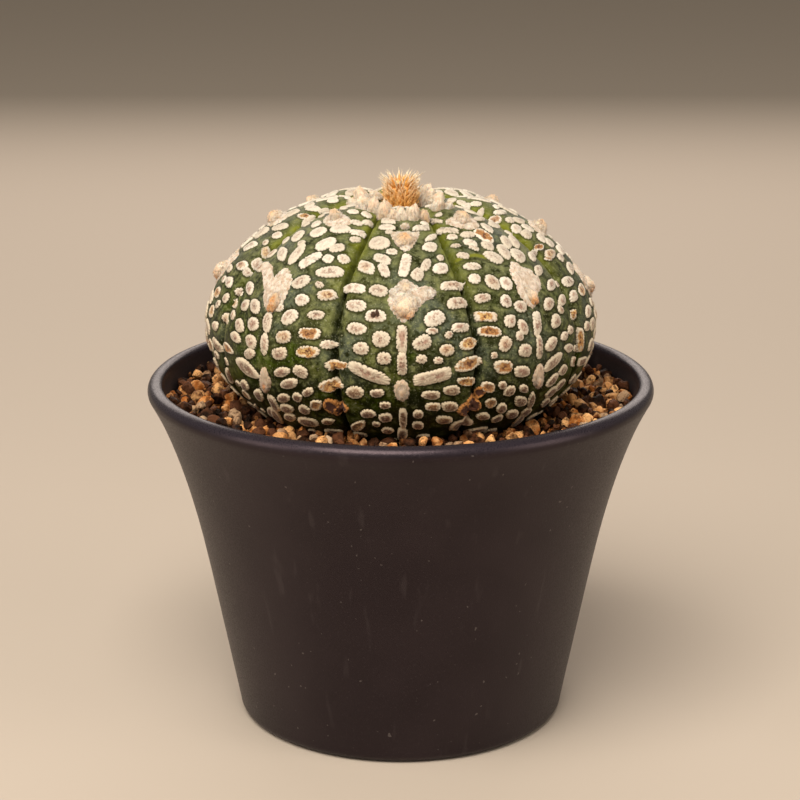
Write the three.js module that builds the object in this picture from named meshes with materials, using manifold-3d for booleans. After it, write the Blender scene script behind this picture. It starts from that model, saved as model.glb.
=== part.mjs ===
// A potted star cactus: a ribbed, white-flecked globe in a matte dark pot of gritty soil.
// Millimetres, +Z up. The origin is on the surface the pot stands on, under its centre.
// The plant's front faces -Y. Angles round the plant are in degrees from -Y towards +X.

import * as THREE from 'three';
import { ConvexHull } from 'three/addons/math/ConvexHull.js';
import { mergeVertices } from 'three/addons/utils/BufferGeometryUtils.js';
import Module from 'manifold-3d';

const wasm = await Module();
wasm.setup();

// Pot
const potRadius = 65;
const potHeight = 89.6;
const potWall = 2.2;
const potSides = 40;
const footRing = { inner: 35.5, outer: 40.1, height: 1.8 };
const footRounding = 2.7;
const floorTop = 4.4;
const drainHoles = { count: 6, radius: 1.9, circle: 22 };
const lip = { bottom: 84.6, neck: 62.9, outerRound: 2.4, innerRadius: 61.2, innerRound: 1.3 };

// Soil
const soilTop = 82;
const soilSides = potSides / 2;
const holeMouth = 40;
const grainSpacing = 5.8;
const grainHeight = 2.3;
const grainRings = 3;
const clearance = 0.35;

// Cactus body
const bodyRadius = 49.6;
const bodyCentre = 105.4;
const bodyAbove = 33.1;
const bodyBelow = 34;
const crownDip = { depth: 6.4, width: 11 };
const crownSeat = 4.4;
const grooveAngles = [-19, 22, 66.5, 111, 157, 203, 247, 293.5, 341];
const edgeAngles = [0.8, 44, 89, 134, 180, 225, 270, 317.6];
const grooveDepth = 4.6;
const grooveStep = 3;
const grooveBare = 1.6;
const soilLine = 88;
const underside = [[36.4, 82], [31.4, 79], [25, 76.2], [17, 73.6], [8.5, 69.5], [6.5, 62], [4.6, 53], [2.4, 45]];
const rootTip = 41;
const fleckHeight = 0.7;
const fleckFoot = 0.15;
const fleckRows = { first: 13, pitch: 5.2 };
const fleckColumnPitch = 6.6;

// Flower bud
const budFoot = 0.35;
const budRadius = 4.1;
const budHeight = 7.4;
const budTiers = 6;
const scalesInTier = 13;

const radians = (degrees) => degrees * Math.PI / 180;

// A seeded draw between low and high, the same on every run.
let seed = 4711;
function draw(low, high) {
  seed = (seed * 16807) % 2147483647;
  return low + (high - low) * seed / 2147483647;
}

// A smooth step from 0 to 1 as x goes from 0 to 1.
function smooth(x) {
  const t = Math.min(Math.max(x, 0), 1);
  return t * t * (3 - 2 * t);
}

// Joining and cutting

function toSolid(geometry) {
  const bare = geometry.clone();
  bare.deleteAttribute('normal');
  bare.deleteAttribute('uv');
  const merged = mergeVertices(bare, 1e-5);
  return new wasm.Manifold(new wasm.Mesh({
    numProp: 3,
    vertProperties: new Float32Array(merged.attributes.position.array),
    triVerts: new Uint32Array(merged.index.array),
  }));
}

function toGeometry(solid) {
  const mesh = solid.getMesh();
  const geometry = new THREE.BufferGeometry();
  geometry.setAttribute('position', new THREE.BufferAttribute(mesh.vertProperties, 3));
  geometry.setIndex(new THREE.BufferAttribute(mesh.triVerts, 1));
  return geometry;
}

// Turns a profile of [radius, height] points round the Z axis.
function turned(profile, sides = potSides) {
  const geometry = new THREE.LatheGeometry(profile.map(([r, z]) => new THREE.Vector2(r, z)), sides);
  return geometry.rotateX(Math.PI / 2);
}

// Closes one skin over points that can all be seen from a centre: the points are laid on a ball round the
// centre, the ball's hull gives the triangles, and each point keeps its own distance.
function skinOver(points, centre) {
  const onBall = points.map((point) => point.clone().sub(centre).normalize());
  const numberOf = new Map(onBall.map((point, number) => [point, number]));
  const hull = new ConvexHull().setFromPoints(onBall);
  const index = [];
  for (const face of hull.faces) {
    let edge = face.edge;
    do {
      index.push(numberOf.get(edge.head().point));
      edge = edge.next;
    } while (edge !== face.edge);
  }
  const geometry = new THREE.BufferGeometry().setFromPoints(points);
  geometry.setIndex(index);
  return geometry;
}

// The pot: a thin flaring wall with a rolled lip, and a floor on a foot ring with drain holes

function potOuter(z) {
  return 42.3 + 0.195 * z + 3.34e-5 * Math.max(0, z - 32) ** 3;
}

function potInner(z) {
  return potOuter(z) - potWall;
}

const wallLevels = [14, 28, 40, 51, 61, 69, 76, 81];

// Points on an arc in the profile, from one angle to another in degrees.
function arc(r, z, radius, from, to, steps) {
  return Array.from({ length: steps + 1 }, (unused, step) => {
    const angle = radians(from + (to - from) * step / steps);
    return [r + radius * Math.cos(angle), z + radius * Math.sin(angle)];
  });
}

function potProfile() {
  const { inner, outer, height } = footRing;
  const roundCentre = potOuter(footRounding) - footRounding;
  const outerRoundCentre = potRadius - lip.outerRound;
  return [
    [0, height],
    [inner - height, height],
    [inner, 0],
    [outer, 0],
    ...arc(roundCentre, footRounding, footRounding, -60, 0, 2),
    ...wallLevels.map((z) => [potOuter(z), z]),
    [lip.neck, lip.bottom],
    ...arc(outerRoundCentre, potHeight - lip.outerRound, lip.outerRound, -30, 90, 4),
    ...arc(lip.innerRadius + lip.innerRound, potHeight - lip.innerRound, lip.innerRound, 90, 180, 2),
    ...[...wallLevels].reverse().map((z) => [potInner(z), z]),
    [potInner(floorTop + 1.5), floorTop + 1.5],
    [potInner(floorTop) - 1.5, floorTop],
    [0, floorTop],
  ];
}

function makePot() {
  let pot = toSolid(turned(potProfile()));
  for (let hole = 0; hole < drainHoles.count; hole += 1) {
    const angle = hole * 2 * Math.PI / drainHoles.count;
    const bore = new THREE.CylinderGeometry(drainHoles.radius, drainHoles.radius, 4 * floorTop, 10);
    bore.rotateX(Math.PI / 2);
    bore.translate(drainHoles.circle * Math.cos(angle), drainHoles.circle * Math.sin(angle), 0);
    pot = pot.subtract(toSolid(bore));
  }
  return toGeometry(pot);
}

// The cactus body's shape

// The line of a rib's edge from the crown, turn 0, to the underside, turn PI, as [radius, height].
function crestPoint(turn) {
  const side = Math.abs(Math.sin(turn));
  const rise = Math.abs(Math.cos(turn));
  if (turn > Math.PI / 2) {
    return [bodyRadius * side ** 1.12, bodyCentre - bodyBelow * rise ** 0.87];
  }
  const r = bodyRadius * side ** 0.92;
  const dip = crownDip.depth * Math.exp(-((r / crownDip.width) ** 2));
  return [r, bodyCentre + bodyAbove * rise ** 1.24 - dip];
}

const crestSteps = 400;
const crestTable = [[0, ...crestPoint(0)]];
for (let step = 1; step <= crestSteps; step += 1) {
  const [length, r, z] = crestTable[step - 1];
  const [nextR, nextZ] = crestPoint(Math.PI * step / crestSteps);
  crestTable.push([length + Math.hypot(nextR - r, nextZ - z), nextR, nextZ]);
}

// The edge line's radius and height at a distance along it from the middle of the crown.
function crestAt(distance) {
  const after = Math.max(1, crestTable.findIndex(([length]) => length > distance));
  const [lengthA, rA, zA] = crestTable[after - 1];
  const [lengthB, rB, zB] = crestTable[after];
  const share = (distance - lengthA) / (lengthB - lengthA);
  return [rA + (rB - rA) * share, zA + (zB - zA) * share];
}

// The angle between a rib's edge and the groove on its left (side below 0) or right.
function halfAngle(rib, side) {
  return side < 0 ? edgeAngles[rib] - grooveAngles[rib] : grooveAngles[rib + 1] - edgeAngles[rib];
}

const centre = new THREE.Vector3(0, 0, bodyCentre);

// A point of the skin on a rib: across runs from -1 in the groove on its left to 1 in the one on its right,
// down is the distance from the crown in mm, and lift is the height above the skin.
function onRib(rib, across, down, lift = 0) {
  const [r, z] = crestAt(down);
  const straight = radians(edgeAngles[rib] + halfAngle(rib, across) * across);
  const angle = straight + 0.012 * Math.sin(down / 9 + 3 * straight) * smooth(down / 20);
  const depth = grooveDepth * smooth((down - 3) / 16) * (1 - 0.5 * smooth((down - 45) / 40));
  const edge = (1 - Math.abs(across)) / 0.13;
  const inset = depth * (0.35 * across * across + 0.65 * Math.exp(-edge * edge));
  const point = new THREE.Vector3(r * Math.sin(angle), -r * Math.cos(angle), z);
  const outward = point.clone().sub(centre).normalize();
  return point.addScaledVector(outward, lift - inset);
}

// The cactus body's patches: every fleck and felt tuft is an outline round a place on a rib. Each holds its rib,
// its place as across (mm from the rib's edge) and down (mm from the crown), and its half sizes.

function halfWidthAt(rib, side, down) {
  return crestAt(down)[0] * radians(halfAngle(rib, side));
}

function patch(rib, across, down, wide, long, options = {}) {
  return { rib, across, down, wide, long, turn: 0, sides: 5, height: fleckHeight, ...options };
}

// Outline points of a patch, scaled about its place.
function patchRing(item, scale, lift, sides = item.sides) {
  const ring = [];
  for (let side = 0; side < sides; side += 1) {
    const angle = 2 * Math.PI * (side + item.phase) / sides;
    const x = item.wide * scale * Math.sin(angle) * (1 + (item.taper ?? 0) * Math.cos(angle));
    const y = -item.long * scale * Math.cos(angle);
    const turn = radians(item.turn);
    const across = item.across + x * Math.cos(turn) - y * Math.sin(turn);
    const down = item.down + x * Math.sin(turn) + y * Math.cos(turn);
    ring.push(onRib(item.rib, across / halfWidthAt(item.rib, across, down), down, lift));
  }
  return ring;
}

function near(a, b) {
  if (a.rib !== b.rib) return false;
  const x = (a.across - b.across) / (a.wide + b.wide + 0.7);
  const y = (a.down - b.down) / (a.long + b.long + 0.7);
  return x * x + y * y < 1;
}

// Felt areoles down the edge of each rib, about 20 mm apart, each with a raised cushion of felt, and the
// narrow flecks that follow the rib's edge between them.
const areoleDowns = [
  [9.5, 31, 49, 71.5],
  [10, 23.5, 49, 71.5],
  [10, 37, 55, 74],
  [10.5, 34, 53, 72],
  [9.5, 26, 46, 68],
  [10.5, 34, 52, 72],
  [9, 33, 51, 71],
  [9.5, 23, 49.5, 71.5],
];

// Woolly young areoles crowd the crown, the largest are half way down and the old ones are worn flat.
function areoleSize(down) {
  if (down < 15) return { wide: 2.3, long: 2.3, taper: 0, height: 1.1 };
  if (down < 40) return { wide: 3.3, long: 3.5, taper: 0.15, height: 1.1 };
  if (down < 60) return { wide: 4.1, long: 4.9, taper: 0.45, height: 0.9 };
  return { wide: 2.1, long: 3, taper: 0.1, height: 0.5 };
}

function areolesOf(rib) {
  const found = [];
  for (const down of areoleDowns[rib]) {
    const { wide, long, taper, height } = areoleSize(down);
    found.push(patch(rib, 0, down, wide, long, { sides: 8, taper, phase: 0, height, felt: true }));
  }
  return found;
}

function edgeFlecksOf(rib) {
  const found = [];
  const stops = [...areoleDowns[rib], soilLine + 6];
  for (let gap = 0; gap < stops.length - 1; gap += 1) {
    const room = stops[gap + 1] - stops[gap];
    const count = Math.max(1, Math.round((room - 9) / 7));
    for (let place = 0; place < count; place += 1) {
      const down = stops[gap] + room * (place + 1.15) / (count + 1.3);
      if (down < soilLine - 3) found.push(patch(rib, draw(-0.3, 0.3), down, 1.35, 2.9, { phase: 0, sides: 6 }));
    }
  }
  return found;
}

// The rest of the flecks stand in staggered rows on both halves of a rib. They are round near the rib's edge
// and wide and flat near the groove.
function fleckRowsOf(rib, side, taken) {
  const found = [];
  const rows = Math.floor((soilLine - 2 - fleckRows.first) / fleckRows.pitch);
  for (let row = 0; row <= rows; row += 1) {
    const rowDown = fleckRows.first + row * fleckRows.pitch;
    const room = halfWidthAt(rib, side, rowDown) - 3.4;
    const columns = Math.max(1, Math.round(room / fleckColumnPitch));
    const stagger = row % 2 === 0 ? 0.32 : 0.62;
    for (let column = 0; column < columns; column += 1) {
      const share = (column + stagger + draw(-0.08, 0.08)) / columns;
      const across = side * (2.6 + (room - 1.3) * share);
      const down = rowDown + draw(-0.6, 0.6) + (column % 2) * 1.6;
      const wide = (1.7 + 1.1 * share) * draw(0.88, 1.12);
      const long = (1.8 - 0.35 * share) * draw(0.9, 1.1);
      const turn = side * (12 - 10 * share) + draw(-8, 8);
      const fleck = patch(rib, across, down, wide, long, { turn, phase: draw(0, 1) });
      const fits = Math.abs(across) + wide < halfWidthAt(rib, side, down) - grooveBare;
      if (fits && !taken.concat(found).some((other) => near(fleck, other))) found.push(fleck);
    }
  }
  return found;
}

function allPatches() {
  const patches = [];
  for (let rib = 0; rib < 8; rib += 1) {
    const onEdge = [...areolesOf(rib), ...edgeFlecksOf(rib)];
    patches.push(...onEdge, ...fleckRowsOf(rib, -1, onEdge), ...fleckRowsOf(rib, 1, onEdge));
  }
  return patches;
}

// The skin over the middle of a patch.
function onPlace(item, lift) {
  return onRib(item.rib, item.across / halfWidthAt(item.rib, item.across, item.down), item.down, lift);
}

function bodyPoints() {
  const points = [];
  for (const item of allPatches()) {
    const foot = 1 + fleckFoot / Math.min(item.wide, item.long);
    points.push(...patchRing(item, foot, 0), ...patchRing(item, 1, item.height));
    if (item.felt) points.push(...patchRing(item, 0.5, 1.7 * item.height, 5), onPlace(item, 2 * item.height));
  }
  for (let rib = 0; rib < 8; rib += 1) {
    for (let down = 7; down < soilLine + 2; down += grooveStep) points.push(onRib(rib, -1, down));
  }
  return points;
}

// The buried underside and root: rings that narrow to a blunt tip under the middle of the body.
function buriedPoints() {
  const found = [];
  underside.forEach(([r, z], level) => {
    const sides = r > 20 ? 24 : 10;
    for (let side = 0; side < sides; side += 1) {
      const angle = 2 * Math.PI * (side + level / 2) / sides;
      found.push(new THREE.Vector3(r * Math.sin(angle), -r * Math.cos(angle), z));
    }
  });
  return [...found, new THREE.Vector3(0, 0, rootTip)];
}

// The middle of the crown is a small flat seat under the bud.
function crownPoints() {
  const [, seat] = crestPoint(0);
  const found = [new THREE.Vector3(0, 0, seat)];
  for (let rib = 0; rib < 8; rib += 1) {
    const angle = radians(edgeAngles[rib]);
    found.push(new THREE.Vector3(crownSeat * Math.sin(angle), -crownSeat * Math.cos(angle), seat));
  }
  return found;
}

function makeCactusBody() {
  return skinOver([...bodyPoints(), ...crownPoints(), ...buriedPoints()], centre);
}

// The soil: a bed that fills the pot, its top heaped with grains, with a plain hole for the plant

// The bed's radius at a height, clear of the pot's wall.
function soilRadius(z) {
  return potInner(z) - clearance;
}

function makeSoil() {
  const bedCentre = new THREE.Vector3(0, 0, soilTop / 2);
  const bed = [];
  const floor = floorTop + clearance;
  const levels = [floorTop + 1.5 + clearance, ...wallLevels];
  const ringOf = (r, z, count, offset = 0) => {
    for (let side = 0; side < count; side += 1) {
      const angle = 2 * Math.PI * (side + offset) / count;
      bed.push(new THREE.Vector3(r * Math.sin(angle), -r * Math.cos(angle), z));
    }
  };
  ringOf(soilRadius(floor) - 1.7, floor, soilSides);
  bed.push(new THREE.Vector3(0, 0, floor));
  levels.forEach((z) => ringOf(soilRadius(z), z, soilSides));
  ringOf(soilRadius(soilTop), soilTop, potSides);
  // Rings of three-cornered grains and, beside each grain, the low place where it meets the next.
  const outermost = soilRadius(soilTop);
  for (let ring = 0; ring < grainRings; ring += 1) {
    const r = outermost - grainSpacing * (ring + 0.5);
    const count = Math.round(2 * Math.PI * r / grainSpacing);
    for (let grain = 0; grain < count; grain += 1) {
      const angle = 2 * Math.PI * (grain + 0.5 * (ring % 2) + draw(-0.12, 0.12)) / count;
      const height = soilTop + grainHeight * draw(0.45, 1);
      const twist = draw(0, 2);
      for (let corner = 0; corner < 3; corner += 1) {
        const x = r * Math.sin(angle) + 1.25 * Math.sin(twist + corner * 2.09);
        const y = -r * Math.cos(angle) + 1.25 * Math.cos(twist + corner * 2.09);
        bed.push(new THREE.Vector3(x, y, height - 0.3 * corner));
      }
      const low = angle + Math.PI / count;
      bed.push(new THREE.Vector3(r * Math.sin(low), -r * Math.cos(low), soilTop - 0.2));
    }
    if (ring > 0) ringOf(r + grainSpacing / 2, soilTop - 0.2, count, 0.25);
  }
  ringOf(holeMouth - 4, soilTop, soilSides, 0.5);
  return toGeometry(toSolid(skinOver(bed, bedCentre)).subtract(toSolid(turned(holeProfile(), soilSides))));
}

// The hole follows the underside and the root, and is wider at its mouth to clear the flecks.
function holeProfile() {
  const buried = underside.map(([r, z]) => [r + clearance, z - clearance]);
  return [
    [0, rootTip - clearance],
    [1.5, rootTip - clearance],
    ...buried.reverse(),
    [holeMouth - 1.2, soilTop + 0.8],
    [holeMouth + 2, soilTop + 4],
    [0, soilTop + 4],
  ];
}

// The flower bud: a short column in the crown, covered with tiers of narrow upright scales

function makeFlowerBud() {
  const foot = crestTable[0][2] + budFoot;
  const column = [
    [0, foot],
    [budRadius * 0.8, foot],
    [budRadius * 0.95, foot + 1.6],
    [budRadius, foot + budHeight * 0.65],
    [budRadius * 0.75, foot + budHeight],
    [0, foot + budHeight + 0.5],
  ];
  let bud = toSolid(turned(column, 12));
  for (let tier = 0; tier < budTiers; tier += 1) {
    const share = tier / (budTiers - 1);
    const count = Math.round(scalesInTier * (1 - 0.45 * share));
    for (let place = 0; place < count; place += 1) {
      const length = 5.2 * draw(0.8, 1.15);
      const scale = new THREE.ConeGeometry(0.9, length, 3, 1);
      scale.rotateX(Math.PI / 2);
      scale.translate(0, 0, length / 2 - 1);
      scale.rotateX(radians(16 + draw(-7, 7) * (1 + share)));
      scale.translate(0, -(budRadius - 0.5 - 2.6 * share ** 3), foot + 2 + budHeight * 0.78 * share);
      scale.rotateZ(2 * Math.PI * (place + 0.5 * (tier % 2) + draw(-0.12, 0.12)) / count);
      bud = bud.add(toSolid(scale));
    }
  }
  return toGeometry(bud);
}

const parts = {
  pot: [makePot(), { color: 0x33292a, roughness: 0.62, metalness: 0 }],
  soil: [makeSoil(), { color: 0x8a6348, roughness: 0.95, metalness: 0 }],
  cactus_body: [makeCactusBody(), { color: 0x5f7548, roughness: 0.7, metalness: 0 }],
  flower_bud: [makeFlowerBud(), { color: 0xc48a45, roughness: 0.85, metalness: 0 }],
};

const cactus = new THREE.Group();
cactus.name = 'potted_star_cactus';
for (const [name, [geometry, finish]] of Object.entries(parts)) {
  const mesh = new THREE.Mesh(geometry, new THREE.MeshStandardMaterial(finish));
  mesh.name = name;
  cactus.add(mesh);
}

export default cactus;
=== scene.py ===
# A potted star cactus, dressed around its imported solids: a ribbed globe with white flecks and felt areoles,
# a bristly bud in its crown, gritty soil and a matte dark pot. Metres, +Z up, the plant's front towards -Y.

import math
import random

import bpy
import numpy as np
from mathutils import Euler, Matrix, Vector, noise
from mathutils.bvhtree import BVHTree
from mathutils.kdtree import KDTree


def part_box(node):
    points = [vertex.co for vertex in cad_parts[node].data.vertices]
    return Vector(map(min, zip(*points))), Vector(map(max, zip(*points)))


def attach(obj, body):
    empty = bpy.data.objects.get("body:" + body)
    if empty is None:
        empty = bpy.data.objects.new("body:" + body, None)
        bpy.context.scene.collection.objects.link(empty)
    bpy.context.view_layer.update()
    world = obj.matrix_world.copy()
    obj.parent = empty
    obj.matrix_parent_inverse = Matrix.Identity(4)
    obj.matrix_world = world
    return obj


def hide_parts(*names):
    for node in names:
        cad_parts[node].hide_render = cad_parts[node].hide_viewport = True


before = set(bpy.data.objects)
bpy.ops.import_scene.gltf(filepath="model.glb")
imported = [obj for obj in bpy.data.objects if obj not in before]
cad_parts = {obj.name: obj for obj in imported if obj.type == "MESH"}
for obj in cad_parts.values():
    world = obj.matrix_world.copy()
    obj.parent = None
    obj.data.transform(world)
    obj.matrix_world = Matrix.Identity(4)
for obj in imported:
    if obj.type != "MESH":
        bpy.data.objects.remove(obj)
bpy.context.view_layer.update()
mm = 0.001


# Camera
# The photograph's own view: a long lens a little over half a metre away, looking 16 degrees down, fitted to
# the pot's outline. The picture is 800 pixels wide.
camera_distance = 551.0 * mm
camera_height = 241.1 * mm
camera_pitch = 16.03
pixels_of_focus = 2215
picture_width = 800
object_offset = 0.7
sensor_width = 36

bpy.ops.object.select_all(action="DESELECT")
bpy.ops.object.camera_add(
    location=(0, -camera_distance, camera_height),
    rotation=(math.radians(90 - camera_pitch), 0, 0),
)
camera = bpy.context.object
camera.name = "camera"
camera.data.sensor_width = sensor_width
camera.data.lens = pixels_of_focus / picture_width * sensor_width
camera.data.shift_x = -object_offset / picture_width
camera.data.dof.use_dof = False
camera.data.clip_start = 0.05
bpy.context.scene.camera = camera


# Studio
# A plain pale floor under soft boxes: a broad one high over the front, one on each side and a low wide one
# behind, in even pale surroundings, so that the plant is lit as softly as in daylight.
bpy.ops.mesh.primitive_plane_add(size=4, location=(0, 0, 0))
floor = bpy.context.object
floor.name = "floor"
floor_finish = bpy.data.materials.new("pale_floor")
floor_finish.use_nodes = True
floor_paint = floor_finish.node_tree.nodes["Principled BSDF"]
floor_paint.inputs["Base Color"].default_value = (0.5, 0.43, 0.36, 1)
floor_paint.inputs["Roughness"].default_value = 0.85
floor.data.materials.append(floor_finish)


def soft_box(name, place, target, size, watts, tint):
    """An area light of that size at a place, turned to face a target."""
    bpy.ops.object.light_add(type="AREA", location=place)
    box = bpy.context.object
    box.name = name
    box.rotation_euler = (Vector(target) - Vector(place)).to_track_quat("-Z", "Y").to_euler()
    box.data.shape = "RECTANGLE"
    box.data.size, box.data.size_y = size
    box.data.energy = watts
    box.data.color = tint


plant_middle = (0, 0, 0.09)
soft_box("box_overhead", (-0.15, -0.5, 0.85), plant_middle, (0.6, 0.6), 11.2, (1, 0.93, 0.83))
soft_box("box_left", (-0.9, -0.45, 0.45), plant_middle, (0.5, 0.7), 3.4, (1, 0.88, 0.76))
soft_box("box_right", (0.9, -0.4, 0.4), plant_middle, (0.5, 0.7), 3.3, (1, 0.88, 0.77))
soft_box("box_back", (0, 0.9, 0.5), plant_middle, (1.2, 0.4), 4.2, (1, 0.9, 0.82))

world = bpy.data.worlds.new("studio_air")
bpy.context.scene.world = world
world.use_nodes = True
world_light = world.node_tree.nodes["Background"]
world_light.inputs["Color"].default_value = (0.9, 0.8, 0.67, 1)
world_light.inputs["Strength"].default_value = 0.27
bpy.context.scene.view_settings.view_transform = "Standard"


# Pot
# One thin-walled pot moulded in dark brown-black plastic. The wall flares towards a rolled lip, and the floor
# stands on a low foot ring and has six drain holes. The surface is matte, with faint specks and scuffs, and
# the top of the lip is rubbed a little smoother. A paler bluish band is painted along the top of the lip as
# its highlight, and the inside of the pot is painted almost black as shade.
_, pot_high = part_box("pot")
pot_radius = pot_high.x
pot_height = pot_high.z
pot_wall = 2.2 * mm
wall_foot, wall_slope = 42.3, 0.195
flare_from, flare_growth = 32, 3.34e-5
pot_sides = 192
foot_inner, foot_outer, foot_height = 35.5 * mm, 40.1 * mm, 1.8 * mm
foot_rounding = 2.7 * mm
floor_top = 4.4 * mm
lip_swell, lip_swell_from = 0.36 * mm, 77 * mm
lip_outer_round, lip_inner_round, lip_inner = 2.4 * mm, 1.3 * mm, 61.2 * mm
drain_circle, drain_radius, drain_count = 22 * mm, 1.9 * mm, 6
sharp_turn = math.radians(40)


def pot_outside(z):
    """The wall's outer radius at a height: a straight slope that flares out higher up."""
    flare = max(0, z / mm - flare_from)
    return (wall_foot + wall_slope * z / mm + flare_growth * flare**3) * mm


def arc(r, z, radius, start, end, steps):
    """Points of an arc in the pot's profile, from one angle to another in degrees."""
    angles = [math.radians(start + (end - start) * step / steps) for step in range(steps + 1)]
    return [(r + radius * math.cos(a), z + radius * math.sin(a)) for a in angles]


wall_levels = [5 * mm + 3.2 * mm * step for step in range(23)]
lip_round_from = pot_height - lip_outer_round * (1 + math.sin(math.radians(26))) - lip_swell_from
lip_levels = [lip_swell_from + lip_round_from * step / 8 for step in range(1, 8)]
foot_round_centre = pot_outside(foot_rounding) - foot_rounding
pot_profile = [
    (foot_inner - foot_height, foot_height),
    (foot_inner - 0.3 * mm, 0.15 * mm),
    (foot_inner, 0),
    (foot_outer, 0),
    *arc(foot_round_centre, foot_rounding, foot_rounding, -75, 0, 5),
    *[(pot_outside(z), z) for z in wall_levels],
    *[(pot_outside(z) + lip_swell * ((z - lip_swell_from) / lip_round_from) ** 2, z) for z in lip_levels],
    *arc(pot_radius - lip_outer_round, pot_height - lip_outer_round, lip_outer_round, -26, 90, 12),
    *arc(lip_inner + lip_inner_round, pot_height - lip_inner_round, lip_inner_round, 90, 180, 7),
    *[(pot_outside(z) - pot_wall, z) for z in reversed(wall_levels[1:] + [80 * mm, 81.5 * mm])],
    (pot_outside(floor_top) - pot_wall - 1.5 * mm, floor_top),
]


def start_ring(name, profile, sides):
    """A new piece in edit mode: a ring at the first radius and height of its profile."""
    bpy.ops.object.select_all(action="DESELECT")
    r, z = profile[0]
    bpy.ops.mesh.primitive_circle_add(vertices=sides, radius=r, location=(0, 0, z))
    piece = bpy.context.object
    piece.name = name
    bpy.ops.object.transform_apply(location=True)
    bpy.ops.object.mode_set(mode="EDIT")
    bpy.ops.mesh.select_all(action="SELECT")
    return piece


def draw_up(profile):
    """Draws the selected ring on through the other points of the profile."""
    for (r, z), (next_r, next_z) in zip(profile, profile[1:]):
        bpy.ops.mesh.extrude_region_move(TRANSFORM_OT_translate={"value": (0, 0, next_z - z)})
        bpy.ops.transform.resize(value=(next_r / r, next_r / r, 1), center_override=(0, 0, 0))


def select_open_edges():
    bpy.ops.mesh.select_all(action="DESELECT")
    bpy.ops.mesh.select_mode(type="EDGE")
    bpy.ops.mesh.select_non_manifold()


def face_outwards():
    """Turns all faces outwards and ends the edit."""
    bpy.ops.mesh.select_all(action="SELECT")
    bpy.ops.mesh.normals_make_consistent(inside=False)
    bpy.ops.object.mode_set(mode="OBJECT")


pot = start_ring("moulded_pot", pot_profile, pot_sides)
draw_up(pot_profile)
select_open_edges()
bpy.ops.mesh.edge_face_add()
bpy.ops.mesh.fill_holes(sides=0)
face_outwards()
for hole in range(drain_count):
    angle = 2 * math.pi * hole / drain_count
    place = (drain_circle * math.cos(angle), drain_circle * math.sin(angle), 0)
    bpy.ops.mesh.primitive_cylinder_add(vertices=24, radius=drain_radius, depth=20 * mm, location=place)
    drill = bpy.context.object
    bore = pot.modifiers.new("drain_hole", "BOOLEAN")
    bore.object = drill
    bore.solver = "EXACT"
    bpy.context.view_layer.objects.active = pot
    bpy.ops.object.modifier_apply(modifier=bore.name)
    bpy.data.objects.remove(drill)
bpy.ops.object.select_all(action="DESELECT")
pot.select_set(True)
bpy.context.view_layer.objects.active = pot
bpy.ops.object.shade_smooth_by_angle(angle=sharp_turn)


def new_finish(name, roughness):
    """A material with a Principled BSDF, and its node tree and shader."""
    finish = bpy.data.materials.new(name)
    finish.use_nodes = True
    shader = finish.node_tree.nodes["Principled BSDF"]
    shader.inputs["Roughness"].default_value = roughness
    return finish, finish.node_tree, shader


def feed(node, sockets):
    """Sets or links a node's input sockets, by name or number."""
    for name, value in sockets.items():
        if isinstance(value, bpy.types.NodeSocket):
            node.id_data.links.new(value, node.inputs[name])
        else:
            node.inputs[name].default_value = value


def put(tree, kind, sockets, **settings):
    """Adds a node, sets its properties and feeds its input sockets."""
    added = tree.nodes.new(kind)
    for name, value in settings.items():
        setattr(added, name, value)
    feed(added, sockets)
    return added


def blend(factor, first, second):
    """A colour mix from first to second by a factor."""
    first, second = ((*colour, 1) if isinstance(colour, tuple) else colour for colour in (first, second))
    sockets = {0: factor, 6: first, 7: second}
    return put(factor.id_data, "ShaderNodeMix", sockets, data_type="RGBA").outputs[2]


def lay_over(colour, *layers):
    """A colour with others laid over it in turn, each given as its share and itself."""
    for share, over in layers:
        colour = blend(share, colour, over)
    return colour


def between(value, low, high, to_low=0.0, to_high=1.0):
    """A smooth step of a value from low to high, put out from to_low to to_high."""
    sockets = {0: value, 1: low, 2: high, 3: to_low, 4: to_high}
    return put(value.id_data, "ShaderNodeMapRange", sockets, interpolation_type="SMOOTHSTEP").outputs[0]


def reckon(operation, *numbers):
    """A sum done on numbers and sockets, the first of them a socket."""
    tree = numbers[0].id_data
    return put(tree, "ShaderNodeMath", dict(enumerate(numbers)), operation=operation).outputs[0]


def both(*shares):
    """Shares multiplied together."""
    product = shares[0]
    for share in shares[1:]:
        product = reckon("MULTIPLY", product, share)
    return product


def height_in(tree):
    """The height above the floor, in metres."""
    place = put(tree, "ShaderNodeTexCoord", {}).outputs["Object"]
    return put(tree, "ShaderNodeSeparateXYZ", {0: place}).outputs[2]


# The noise that every finish is built on, in the piece's own coordinates, as one group.
grain_group = bpy.data.node_groups.new("grain", "ShaderNodeTree")
for name, kind in (("Scale", "Float"), ("Stretch", "Vector"), ("Detail", "Float"), ("Roughness", "Float")):
    grain_group.interface.new_socket(name, in_out="INPUT", socket_type=f"NodeSocket{kind}")
grain_group.interface.new_socket("Fac", in_out="OUTPUT", socket_type="NodeSocketFloat")
given = put(grain_group, "NodeGroupInput", {}).outputs
place = put(grain_group, "ShaderNodeTexCoord", {}).outputs["Object"]
place = put(grain_group, "ShaderNodeMapping", {"Vector": place, "Scale": given["Stretch"]}).outputs[0]
sockets = {"Vector": place, **{name: given[name] for name in ("Scale", "Detail", "Roughness")}}
put(grain_group, "NodeGroupOutput", {"Fac": put(grain_group, "ShaderNodeTexNoise", sockets).outputs["Fac"]})


def grain_noise(tree, scale, stretch=(1, 1, 1), detail=3.0, roughness=0.55):
    """The grain group in a material, with scale in features a metre."""
    sockets = {"Scale": scale, "Stretch": stretch, "Detail": detail, "Roughness": roughness}
    return put(tree, "ShaderNodeGroup", sockets, node_tree=grain_group).outputs["Fac"]


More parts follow.
